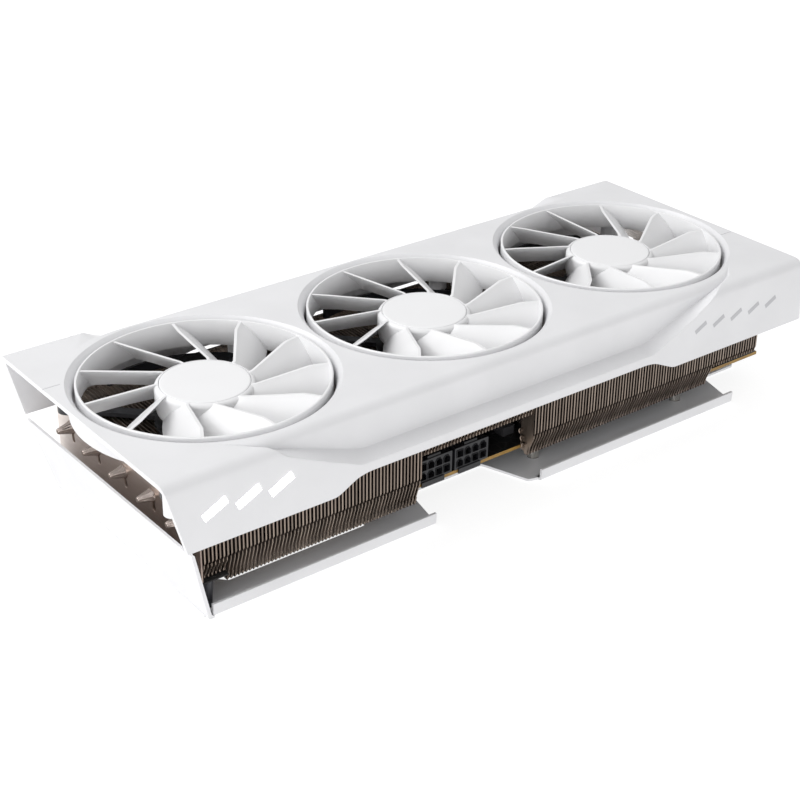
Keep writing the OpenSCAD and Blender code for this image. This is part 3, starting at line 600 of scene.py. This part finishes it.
def stations():
    xs = [TAIL + d for d in (0, 4, 8, 13, 18, 23)] + list(np.arange(-145, -72, 1.6))
    xs += list(np.arange(-68, 62, 7.0)) + list(np.arange(64, 141, 1.6)) + [145, 150, 156, 162, END]
    return sorted(set(round(float(x), 3) for x in xs))


def lean(x, z):
    """The slanted cut of the tail end fades out along the first stretch of the shroud."""
    k = max(0.0, 1 - (x - TAIL) / 24)
    return x + SLANT * (TOP - z) * k


def build_shroud():
    near, far = shroud_sides()
    xs = stations()
    m = Solid()
    borders = []
    for side in (near, far):
        rings = [[(lean(x, z), y, z) for y, z in side.profile(x)] for x in xs]
        m.loft(rings, closed=False, caps=False)
        borders.append([(r[-1][0], r[-1][1]) for r in rings])
    outline = borders[0] + borders[1][::-1]
    holes = [circle(fx, 0, DUCT_R + COLLAR, 144) for fx in FAN_X]
    flat = Solid()
    flat.sheet(outline, holes, lambda u, v, w: (u, v, w), TOP, TOP, walls=False)
    m.add(flat.v, flat.f)
    for fx in FAN_X:
        prof = [(DUCT_R + COLLAR, TOP)]
        first = math.radians(30)
        for a in range(30, 91, 12):
            q = math.radians(a)
            prof.append((DUCT_R + (COLLAR - 0.25) * (1 - math.sin(q)) / (1 - math.sin(first)),
                         TOP - 0.25 - 4.6 * (math.cos(first) - math.cos(q)) / math.cos(first)))
        prof += [(DUCT_R, DUCT_Z)]
        m.revolve(prof, fx, 0, 144, closed_profile=False)
    me = bpy.data.meshes.new("shroud_skin")
    me.from_pydata([metres(p) for p in m.v], [], m.f)
    bm = bmesh.new()
    bm.from_mesh(me)
    bmesh.ops.remove_doubles(bm, verts=bm.verts, dist=8e-6)
    bmesh.ops.dissolve_degenerate(bm, edges=bm.edges, dist=4e-6)
    bmesh.ops.recalc_face_normals(bm, faces=bm.faces)
    top = max(bm.faces, key=lambda f: f.calc_area())
    if top.normal.z < 0:
        bmesh.ops.reverse_faces(bm, faces=bm.faces)
    bm.to_mesh(me)
    bm.free()
    o = bpy.data.objects.new("shroud_shell", me)
    bpy.context.scene.collection.objects.link(o)
    wall = o.modifiers.new("wall", "SOLIDIFY")
    wall.thickness = 0.0020
    wall.offset = -1
    wall.use_rim = True
    o = bake(o, "shroud_shell")
    cut_windows(o)
    o.data.materials.append(MATERIALS["white_shroud"])
    add_bevel(o, 0.3, 2, 50)
    smooth(o, 28)
    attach(o, "card")
    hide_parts("shroud")
    # Bosses for the fan bases' screws and legs that stand on the fins
    posts = Solid()
    post_top = TOP - 2.4
    tail_foot = 43.6
    posts.revolve([(0.9, tail_foot), (3.1, tail_foot), (3.5, tail_foot + 0.4), (3.5, post_top),
                   (0.9, post_top)], -156.6, -48, 32)
    low = node_box("fan_base_2")[1][2] + 0.1
    for fx in FAN_X:
        for k in range(4):
            a = math.radians(45 + 90 * k)
            posts.revolve([(1.5, low), (3.9, low), (4.2, low + 0.3), (4.2, post_top), (1.5, post_top)],
                          fx + LUG_R * math.cos(a), LUG_R * math.sin(a), 32)
    foot = node_box("fins_tail")[1][2] + 0.05
    for cx, cy in ((-56, -46), (-56, 44), (56, -46), (56, 44)):
        posts.revolve([(0.8, foot), (3.2, foot), (3.5, foot + 0.3), (3.5, post_top), (0.8, post_top)],
                      cx, cy, 32)
    posts.done("shroud_posts", "white_shroud", body="card")


def bake(o, name):
    """Applies an object's modifiers."""
    dg = bpy.context.evaluated_depsgraph_get()
    me = bpy.data.meshes.new_from_object(o.evaluated_get(dg))
    me.name = name
    old = o.data
    o.modifiers.clear()
    o.data = me
    bpy.data.meshes.remove(old)
    return o


def bar_points(cx, cz, length, height, slope=24, skew=0.6):
    """Corners (x, z) of one slanted bar."""
    a = math.radians(slope)
    out = []
    for u, v in ((-1, -1), (1, -1), (1, 1), (-1, 1)):
        x, z = u * length / 2 + skew * v * height / 2, v * height / 2
        out.append((cx + x * math.cos(a) - z * math.sin(a), cz + x * math.sin(a) + z * math.cos(a)))
    return out


def cut_windows(o):
    c = Solid()
    for i in range(3):
        pts = bar_points(-150 + 14.5 * i, 53.5, 11.3, 3.5, skew=0)
        c.prism([(x, NEAR - 1, z) for x, z in pts], [(x, NEAR + 4.6, z) for x, z in pts])
    # Fine seams across the top at both ends
    c.box((TAIL - 1, 26.1, TOP - 0.6), (TAIL + 7.5, 26.5, TOP + 1))
    c.box((END - 7.5, -23.7, TOP - 0.6), (END + 1, -23.3, TOP + 1))
    me = bpy.data.meshes.new("cutter")
    me.from_pydata([metres(p) for p in c.v], [], c.f)
    bm = bmesh.new()
    bm.from_mesh(me)
    bmesh.ops.recalc_face_normals(bm, faces=bm.faces)
    bm.to_mesh(me)
    bm.free()
    cutter = bpy.data.objects.new("cutter", me)
    bpy.context.scene.collection.objects.link(cutter)
    b = o.modifiers.new("cut", "BOOLEAN")
    b.operation = "DIFFERENCE"
    b.solver = "EXACT"
    b.object = cutter
    bake(o, o.name)
    bpy.data.objects.remove(cutter)


def build_print():
    """Printed grey strokes at the bracket end of the near wall, a plain pattern."""
    m = Solid()
    for i in range(5):
        pts = bar_points(103 + 11.5 * i, 53.6, 7.6, 2.0, 24, 0)
        m.prism([(x, NEAR + NEAR_LEAN * (z - WALL_Z) - 0.05, z) for x, z in pts],
                [(x, NEAR + NEAR_LEAN * (z - WALL_Z) + 0.5, z) for x, z in pts])
    m.done("wall_print", "print_grey", body="card")


# ---------------------------------------------------------------- fans

PHASE = [8.5, 0.2, 18.4]
BLADES = 11
HUB_R = 20.0
KINK_R = 43.0
SWEEP = 19.6


def lead_angle(r):
    """Direction in degrees of a blade's upper edge: straight from the hub to a kink, then radial."""
    a, b = math.radians(-SWEEP), math.radians(-0.7)
    p, q = (HUB_R * math.cos(a), HUB_R * math.sin(a)), (KINK_R * math.cos(b), KINK_R * math.sin(b))
    if r >= KINK_R:
        return -0.7 + 0.7 * (r - KINK_R) / 8
    dx, dy = q[0] - p[0], q[1] - p[1]
    aa, bb, cc = dx * dx + dy * dy, 2 * (p[0] * dx + p[1] * dy), p[0] ** 2 + p[1] ** 2 - r * r
    t = (-bb + math.sqrt(max(0, bb * bb - 4 * aa * cc))) / (2 * aa)
    return math.degrees(math.atan2(p[1] + t * dy, p[0] + t * dx))


def blade_rings(fx, turn, hub_top, ring_top):
    """Cross-sections of one blade from the hub to the ring, each a thin closed outline."""
    rings = []
    radii = [19.0, 20.5, 23, 26, 29, 32, 35, 38, 41, 42.6, 43.6, 45.5, 48, 51.0]
    chord = 12
    for r in radii:
        lead = lead_angle(max(r, HUB_R))
        out = (min(r, KINK_R) - HUB_R) / (KINK_R - HUB_R)
        top = hub_top - 0.35 + (ring_top - 0.5 - hub_top) * max(0, out)
        drop = 11.4 + 0.3 * out
        reach = 12.9 - 1.0 * max(0, (r - KINK_R) / 8)
        mid = []
        for k in range(chord + 1):
            c = k / chord
            bow = 0.55 * math.sin(math.pi * c)
            mid.append((math.radians(lead) - (reach * c + bow * 0.7) / r, top - drop * c + bow * 0.7))
        up, down = [], []
        for k, (a, z) in enumerate(mid):
            a0, z0 = mid[max(0, k - 1)]
            a1, z1 = mid[min(chord, k + 1)]
            ds, dz = (a1 - a0) * r, z1 - z0
            n = math.hypot(ds, dz)
            nx, nz = -dz / n, ds / n
            if nz < 0:
                nx, nz = -nx, -nz
            c = k / chord
            half = 0.42 + 0.34 * math.sin(math.pi * min(1, 0.1 + c * 0.85))
            up.append((a + nx * half / r, z + nz * half))
            down.append((a - nx * half / r, z - nz * half))
        flat = 0.62
        rim = [(mid[0][0] - flat / r, top + 0.36), (mid[0][0] + flat / r, top + 0.36)]
        ring = [rim[1], rim[0]] + up[1:] + down[1:][::-1]
        rings.append([(fx + r * math.cos(a + turn), r * math.sin(a + turn), z) for a, z in ring])
    return rings


def build_fans():
    for n, fx in enumerate(FAN_X):
        m = Solid()
        lo, hi = node_box("fan_rotor_%d" % (n + 1))
        top, low = hi[2], lo[2]
        hub_top = node_box("hub_cap_%d" % (n + 1))[1][2] - 0.2
        ring_low = top - 12
        inner, outer = RING_R - 1.15, RING_R - 0.02
        m.revolve([(inner, top - 0.35), (inner + 0.2, top - 0.06), (inner + 0.45, top),
                   (outer - 0.3, top - 0.03), (outer, top - 0.35), (outer, ring_low + 0.3),
                   (outer - 0.3, ring_low), (inner + 0.3, ring_low), (inner, ring_low + 0.4)], fx, 0, 160)
        hub = [(18.62, hub_top - 1.0), (18.62, hub_top - 0.12), (18.74, hub_top)]
        big = 2.2
        hub += [(HUB_R + 0.55 - big + big * math.sin(math.radians(a)),
                 hub_top - big + 0.02 + big * math.cos(math.radians(a))) for a in range(28, 91, 9)]
        hub += [(HUB_R + 0.55, low + 3.4), (HUB_R - 0.1, low + 0.5), (HUB_R - 0.5, low), (18, low),
                (18, hub_top - 3.0), (3.2, hub_top - 3.0), (3.2, hub_top - 6), (1.55, hub_top - 6),
                (1.55, hub_top - 1.0)]
        m.revolve(hub, fx, 0, 112)
        for k in range(BLADES):
            turn = math.radians(PHASE[n] + 360 / BLADES * k)
            m.loft(blade_rings(fx, turn, hub_top, top))
        m.done("fan_%d_rotor" % (n + 1), "white_fan", ["fan_rotor_%d" % (n + 1)],
               "fan_%d" % (n + 1), angle=38)
        cap = Solid()
        rim = 18.38
        face = hub_top + 0.14
        cap.revolve([(0.0, face + 0.05), (6, face + 0.048), (12, face + 0.04), (16.2, face + 0.02),
                     (17.7, face), (rim - 0.18, face - 0.05), (rim, face - 0.22), (rim, hub_top - 1.0),
                     (0.0, hub_top - 1.0)], fx, 0, 112)
        cap.done("fan_%d_cap" % (n + 1), "white_cap", ["hub_cap_%d" % (n + 1)],
                 "fan_%d" % (n + 1), angle=50)


def build_far_shade_strips():
    """Dark curved strip below the duct on the far side of each fan: painted shade, a black piece standing in
    for the deep shadow there.
    """
    m = Solid()
    section = ((53.6, 46.3), (55.4, 46.3), (55.4, 50.4), (54.9, 50.8), (53.6, 50.8))
    for fx in FAN_X:
        rings = []
        for k in range(31):
            a = math.radians(38 + 70 * k / 30)
            rings.append([(fx + r * math.cos(a), r * math.sin(a), z) for r, z in section])
        m.loft(rings)
    m.done("fan_skirts", "base_black", body="card", angle=30)


# ---------------------------------------------------------------- heatsink

PIPES = 5
PIPE_R = 3.0
PIPE_LOW_X = 28.0
PITCH = 1.72
FIN_T = 0.38
FIN_TOP = node_box("fins_tail")[1][2]
FIN_NEAR = node_box("fins_tail")[0][1]
FIN_FAR = node_box("fins_tail")[1][1]


def bend_height(bottom):
    """Height at which a fin's near edge starts to bend in."""
    return max(21.4, bottom + 2.4)


def fin_outline(bottom, inner):
    """Outline (y, z) of one fin: bent-in lower near edge with a tooth, and a part clear of the board."""
    n, f = FIN_NEAR, FIN_FAR
    low = bend_height(bottom)
    pts = [(n, FIN_TOP - 0.6), (n, low), (n + 3.2, bottom + 1.6), (n + 3.0, bottom + 0.7), (n + 3.5, bottom)]
    pts += [(n + 5.4, bottom), (n + 6.0, bottom + 1.3), (n + 8.2, bottom + 1.3)]
    pts += [(n + 8.4, inner + 0.1 if inner > bottom else bottom + 1.3), (f - 3, max(inner, bottom + 0.3)),
            (f, max(inner, bottom) + 6), (f, FIN_TOP - 0.6), (f - 0.6, FIN_TOP), (n + 0.6, FIN_TOP)]
    return pts


def fin_block(name, node, rows):
    """rows: (from x, to x, bottom, inner) stretches of one fin pack."""
    m = Solid()
    n = FIN_NEAR
    for a, b, bottom, inner in rows:
        count = int(round((b - a) / PITCH))
        gap = (b - a) / count
        low = bend_height(bottom)
        pts = fin_outline(bottom, inner)
        for i in range(count):
            x = a + gap * i + 0.1 + rng.uniform(-0.05, 0.05)
            m.prism([(x, y, z) for y, z in pts], [(x + FIN_T, y, z) for y, z in pts])
            # Flange folded over the near edge's upper part, and the tooth's own wider fold
            wide = 0.62 * gap + rng.uniform(-0.04, 0.04)
            m.prism([(x, n, FIN_TOP - 1.4), (x, n, low + 1.2), (x, n + 0.3, low + 1.0),
                     (x, n + 0.3, FIN_TOP - 1.4)],
                    [(x + wide, n, FIN_TOP - 1.8), (x + wide, n, low + 2.4), (x + wide, n + 0.3, low + 2.4),
                     (x + wide, n + 0.3, FIN_TOP - 1.8)])
            m.prism([(x, n + 2.7, bottom + 4.2), (x, n + 3.5, bottom), (x, n + 3.9, bottom + 0.1),
                     (x, n + 3.1, bottom + 4.2)],
                    [(x + wide, n + 2.8, bottom + 3.6), (x + wide, n + 3.45, bottom + 0.6),
                     (x + wide, n + 3.85, bottom + 0.6), (x + wide, n + 3.2, bottom + 3.6)])
        # Folded tabs that tie each fin to the next along the top and far edges
        for y in (n + 14, FIN_FAR - 15, FIN_FAR - 1.6):
            m.box((a, y, FIN_TOP - 0.45), (b - gap * 0.5, y + 1.2, FIN_TOP - 0.05))
    m.done(name, "fin_metal", [node], angle=20)


def build_fins():
    lo, hi = node_box("fins_tail")
    short = lo[0] + 12
    fin_block("fin_pack_tail", "fins_tail",
              [(lo[0], short, 14.4, 14.4), (short, hi[0], 9.8, 9.8)])
    lo, hi = node_box("fins_middle")
    fin_block("fin_pack_middle", "fins_middle", [(lo[0], hi[0], 31.6, 31.6)])
    lo, hi = node_box("fins_bracket")
    step = 127.5
    fin_block("fin_pack_bracket", "fins_bracket",
              [(lo[0], step, 11.7, 27.4), (step, hi[0], 19.6, 27.4)])


def pipe_ys():
    """Where the heat pipes lie across the card."""
    lo, hi = node_box("heat_pipes")
    return [lo[1] + PIPE_R + (hi[1] - lo[1] - 2 * PIPE_R) * i / (PIPES - 1) for i in range(PIPES)]


def build_pipes():
    lo, hi = node_box("heat_pipes")
    r = PIPE_R
    z_up, z_low = hi[2] - r, lo[2] + r
    base = node_box("end_plate_tail")[0][0]
    bend = (z_up - z_low) / 2
    turn_x = hi[0] - r - bend
    steps = 48
    m = Solid()
    for y in pipe_ys():
        rings = []
        stops = [(lo[0], 0.34, 0), (lo[0] + 0.25, 0.42, 1), (lo[0] + 2.4, 0.6, 1), (lo[0] + 4.6, 0.8, 1),
                 (base - 0.9, 0.94, 0.7), (base - 0.2, 1.0, 0.0)]
        for x, k, flute in stops:
            ring = []
            for i in range(steps):
                a = 2 * math.pi * i / steps
                q = r * k * (1 - 0.11 * flute * (0.5 + 0.5 * math.cos(8 * a)))
                ring.append((x, y + q * math.cos(a), z_up + q * math.sin(a)))
            rings.append(ring)
        rings.append([(turn_x, y + r * math.cos(2 * math.pi * i / steps),
                       z_up + r * math.sin(2 * math.pi * i / steps)) for i in range(steps)])
        for k in range(1, 13):
            t = math.pi * k / 12
            cx, cz = turn_x + bend * math.sin(t), (z_up + z_low) / 2 + bend * math.cos(t)
            ring = []
            for i in range(steps):
                a = 2 * math.pi * i / steps
                out = r * math.sin(a)
                ring.append((cx + out * math.sin(t), y + r * math.cos(a), cz + out * math.cos(t)))
            rings.append(ring)
        rings.append([(PIPE_LOW_X, y + r * math.cos(2 * math.pi * i / steps),
                       z_low - r * math.sin(2 * math.pi * i / steps)) for i in range(steps)])
        m.loft(rings)
    m.done("pipe_set", "pipe_metal", ["heat_pipes"], angle=40)


def build_tail_cover():
    """Smooth plate on the tail end of the fins, with a hole and a drop-shaped slot for each heat pipe."""
    lo, hi = node_box("end_plate_tail")
    z = node_box("heat_pipes")[1][2] - PIPE_R
    outline = rounded([(lo[1], lo[2]), (hi[1], lo[2]), (hi[1], hi[2]), (lo[1], hi[2])], 1.2, 4)
    holes = []
    for y in pipe_ys():
        keyhole = arc(y, z, PIPE_R + 0.12, -60, 240, 28)
        keyhole += [(y - 1.7, z - 3.1)] + arc(y - 1.2, z - 5.6, 1.25, 170, 380, 12) + [(y + 0.2, z - 3.2)]
        holes.append(keyhole)
    m = Solid()
    m.sheet(outline, holes, lambda u, v, w: (w, u, v), hi[0], lo[0])
    m.done("tail_cover", "plate_metal", ["end_plate_tail"], angle=30, bevel=0.12)


def build_hooks():
    """Small curled hooks on the end faces of the two fin blocks beside the sockets."""
    m = Solid()
    lo = node_box("fins_bracket")[0][0]
    hi = node_box("fins_tail")[1][0]
    for x, sign, spots in ((lo - 0.1, -1, ((-49.5, 22.0), (-50.6, 18.8), (-51.6, 15.6))),
                           (hi + 0.1, 1, ((-50.5, 17.5), (-51.4, 14.2)))):
        for y, z in spots:
            rings = []
            for k in range(9):
                t = math.radians(-70 + 200 * k / 8)
                cy, cz = y + 1.3 * math.cos(t), z + 1.3 * math.sin(t)
                rings.append([(x + sign * 0.35 * (1 + math.cos(a)), cy + 0.3 * math.sin(a) * math.cos(t),
                               cz + 0.3 * math.sin(a) * math.sin(t)) for a in
                              [2 * math.pi * i / 8 for i in range(8)]])
            m.loft(rings)
    m.done("fin_hooks", "fin_metal", angle=50)


# ---------------------------------------------------------------- backplate

PLATE_T = 1.2


def build_backplate():
    lo, hi = node_box("backplate")
    lip_h = 6.0
    near = -59.6
    tail, end, far, waist = -151.0, hi[0], 61.0, -34.5
    outline = rounded([(tail, far), (end, far), (end, waist), (147.2, waist), (141.2, -55.5),
                       (140.2, near + 2.2), (19.2, near + 2.2), (14.6, -56.2), (6.6, waist + 1),
                       (-33.6, waist + 1), (-38.4, -54.5), (-39.6, near + 2.2), (tail, near + 2.2)],
                      [0, 3, 2, 1.5, 1, 0.5, 0.5, 1.5, 2, 2, 1.5, 0.5, 0], 6)
    window = rounded([(-135.5, -38.8), (-131, -43.3), (-65, -43.3), (-60.5, -38.8), (-60.5, 38.5), (-65, 43),
                      (-131, 43), (-135.5, 38.5)], 1.2, 4)
    screws = screw_spots()
    holes = [window] + [circle(x, y, 2.85, 28) for x, y in screws]
    m = Solid()
    m.sheet(outline, holes, lambda u, v, w: (u, v, w), 0.0, PLATE_T)
    # Rolled-up lips of the two wings
    bend = 1.9
    for x0, x1 in ((-148.2, -39.6), (19.2, 140.2)):
        outer = arc(near + bend, bend, bend, 270, 180, 6) + [(near - 0.15, lip_h - 0.15), (near, lip_h)]
        inner = [(near + PLATE_T - 0.2, lip_h), (near + PLATE_T - 0.05, lip_h - 0.15)] + \
            arc(near + bend, bend, bend - PLATE_T, 180, 270, 6)
        ring = [(near + 3.4, 0.0)] + outer + inner + [(near + 3.4, PLATE_T)]
        m.prism([(x0, y, z) for y, z in ring], [(x1, y, z) for y, z in ring])
    # Leaning tail plate
    top = hi[2]
    run = tail - lo[0]
    foot = 1.25
    skew = 0.8

    def place(x, z, far_side):
        if far_side:
            return (x - skew, 61 + (hi[1] - 61) * z / top, z)
        return (x + skew, -59.8 + (lo[1] + 59.8) * z / top, z)
    profile = [(tail + 2.4, 0.0), (tail + 0.6, 0.0), (tail - 0.1, 0.25), (tail - 0.35, 0.8),
               (tail - run, top), (tail - run + foot, top), (tail + foot - 0.45, 2.4),
               (tail + foot - 0.1, 1.6), (tail + foot + 0.5, PLATE_T), (tail + 2.4, PLATE_T)]
    m.prism([place(x, z, False) for x, z in profile], [place(x, z, True) for x, z in profile])
    m.done("back_sheet", "white_sheet", ["backplate"], angle=28, bevel=0.22)
    build_screws(screws)


def screw_spots():
    """Centres of the backplate's screws, read from the stand-offs' mesh."""
    o = frame["nodes"]["board_standoffs"]
    pts = [((v.co.x - AXIS_X) * 1000, (v.co.y - AXIS_Y) * 1000) for v in o.data.vertices]
    spots = []
    for p in pts:
        for s in spots:
            if math.dist(p, s[0]) < 8:
                s.append(p)
                break
        else:
            spots.append([p])
    out = []
    for s in spots:
        xs = [p[0] for p in s]
        ys = [p[1] for p in s]
        out.append(((min(xs) + max(xs)) / 2, (min(ys) + max(ys)) / 2))
    return out


def build_screws(spots):
    m = Solid()
    for cx, cy in spots:
        cross = []
        arm, half = 1.35, 0.33
        for k in range(4):
            a = -math.pi / 2 * k + 0.3
            for u, v in ((half, half), (arm, half), (arm, -half)):
                cross.append((cx + u * math.cos(a) - v * math.sin(a), cy + u * math.sin(a) + v * math.cos(a)))
        m.sheet(circle(cx, cy, 2.65, 36), [cross], lambda u, v, w: (u, v, w), 0.08, 0.42)
        m.revolve([(0.0, 0.4), (2.6, 0.4), (2.6, 0.62), (1.45, 0.64), (1.45, 6.0), (0.0, 6.0)], cx, cy, 32)
    m.done("plate_screws", "screw_black", ["backplate_screws"], angle=30)


# ---------------------------------------------------------------- power sockets

def cell_outline(cx, cz, square, size=3.3):
    """One opening of a power socket: square, or with two cut upper corners."""
    h = size / 2
    if square:
        pts = [(-h, -h), (h, -h), (h, h), (-h, h)]
        return [(cx + x, cz + z) for x, z in rounded(pts, 0.35, 3)]
    pts = [(-h, -h), (h, -h), (h, h * 0.35), (h * 0.45, h), (-h * 0.45, h), (-h, h * 0.35)]
    return [(cx + x, cz + z) for x, z in rounded(pts, [0.3, 0.3, 0.4, 0.4, 0.4, 0.4], 3)]


def grown(outline, k):
    """An outline made larger or smaller about its middle."""
    mid = (sum(p[0] for p in outline) / len(outline), sum(p[1] for p in outline) / len(outline))
    return [(mid[0] + (x - mid[0]) * k, mid[1] + (z - mid[1]) * k) for x, z in outline]


def build_sockets():
    for n in (1, 2):
        lo, hi = node_box("power_socket_%d" % n)
        x0, x1 = lo[0], hi[0]
        face = lo[1] + 0.2
        z0, z1 = 13.95, hi[2] - 1.1
        pitch = (x1 - x0) / 4.35
        m = Solid()
        outline = rounded([(x0, z0), (x1, z0), (x1, z1), (x0, z1)], 0.5, 3)
        cells = []
        for row in (0, 1):
            for i in range(4):
                square = (i == 0) if row else (i >= 2)
                cx = (x0 + x1) / 2 + pitch * (i - 1.5)
                cz = z0 + 2.95 + row * (pitch + 0.35)
                cells.append(cell_outline(cx, cz, square))
        depth = 9
        m.sheet(outline, cells, lambda u, v, w: (u, w, v), face + depth, face + 0.35)
        for c in cells:
            # A raised rim round each cell, and its floor
            rim = ((0.37, 1.17), (0.05, 1.15), (0, 1.08), (0.1, 0.985), (0.5, 0.97))
            m.loft([[(x, face + y, z) for x, z in grown(c, k)] for y, k in rim], caps=False)
            floor = grown(c, 1.05)
            m.prism([(x, face + depth - 0.1, z) for x, z in floor],
                    [(x, face + depth + 1.5, z) for x, z in floor])
        m.box((x0 + 0.3, face + depth - 0.05, z0 + 0.2), (x1 - 0.3, hi[1], z1 - 0.2))
        m.box((x0 + 2, lo[1], lo[2]), (x0 + 14, face + 0.5, z0 + 0.4))
        # Latch ridge on top
        wide = (x1 - x0 - 7) / 2
        latch = [(face + 1.0, z1 - 0.1), (face + 1.3, z1 + 0.9), (face + 1.9, z1 + 1.05),
                 (face + 5.8, z1 + 0.7), (face + 6, z1 - 0.1)]
        m.prism([(x0 + wide, y, z) for y, z in latch], [(x1 - wide, y, z) for y, z in latch])
        m.done("socket_%d" % n, "socket_black", ["power_socket_%d" % n], angle=35)


# ---------------------------------------------------------------- carried-over CAD parts

def finish_cad():
    """Materials for every node that is still shown, and softened edges where they are seen."""
    slots = {s["node"]: s["material_slot"] for s in frame["record"]["subparts"]}
    edges = {"io_bracket": 0.15, "end_plate_tail": 0.12, "end_plate_bracket": 0.12, "cold_plate": 0.3,
             "supply_coils": 0.4, "memory_chips": 0.12, "processor_package": 0.1, "tail_posts": 0.4,
             "tail_pads": 0.3, "video_port_1": 0.12, "video_port_2": 0.12, "video_port_3": 0.12,
             "video_port_4": 0.12, "fan_lead_plugs": 0.3, "circuit_board": 0.1, "clamp_cross": 0.15,
             "fan_base_1": 0.25, "fan_base_2": 0.25, "fan_base_3": 0.25, "power_pins": 0.15}
    for name, o in frame["nodes"].items():
        key = slots[name]
        if name.startswith("end_plate"):
            key = "plate_metal"
        mat = MATERIALS[key]
        if o.material_slots:
            for s in o.material_slots:
                s.material = mat
        else:
            o.data.materials.append(mat)
        if name in edges:
            add_bevel(o, edges[name], 2, 40)


def add_floor():
    me = bpy.data.meshes.new("floor")
    size = 8.0
    n = 8
    verts = [(-size / 2 + size * i / n, -size / 2 + size * j / n, -0.0004)
             for j in range(n + 1) for i in range(n + 1)]
    faces = [(j * (n + 1) + i, j * (n + 1) + i + 1, (j + 1) * (n + 1) + i + 1, (j + 1) * (n + 1) + i)
             for j in range(n) for i in range(n)]
    me.from_pydata(verts, [], faces)
    o = bpy.data.objects.new("floor", me)
    bpy.context.scene.collection.objects.link(o)
    me.materials.append(floor_finish())


add_camera()
add_studio()
add_floor()
build_shroud()
build_print()
build_fans()
build_far_shade_strips()
build_fins()
build_pipes()
build_tail_cover()
build_hooks()
build_backplate()
build_sockets()
finish_cad()
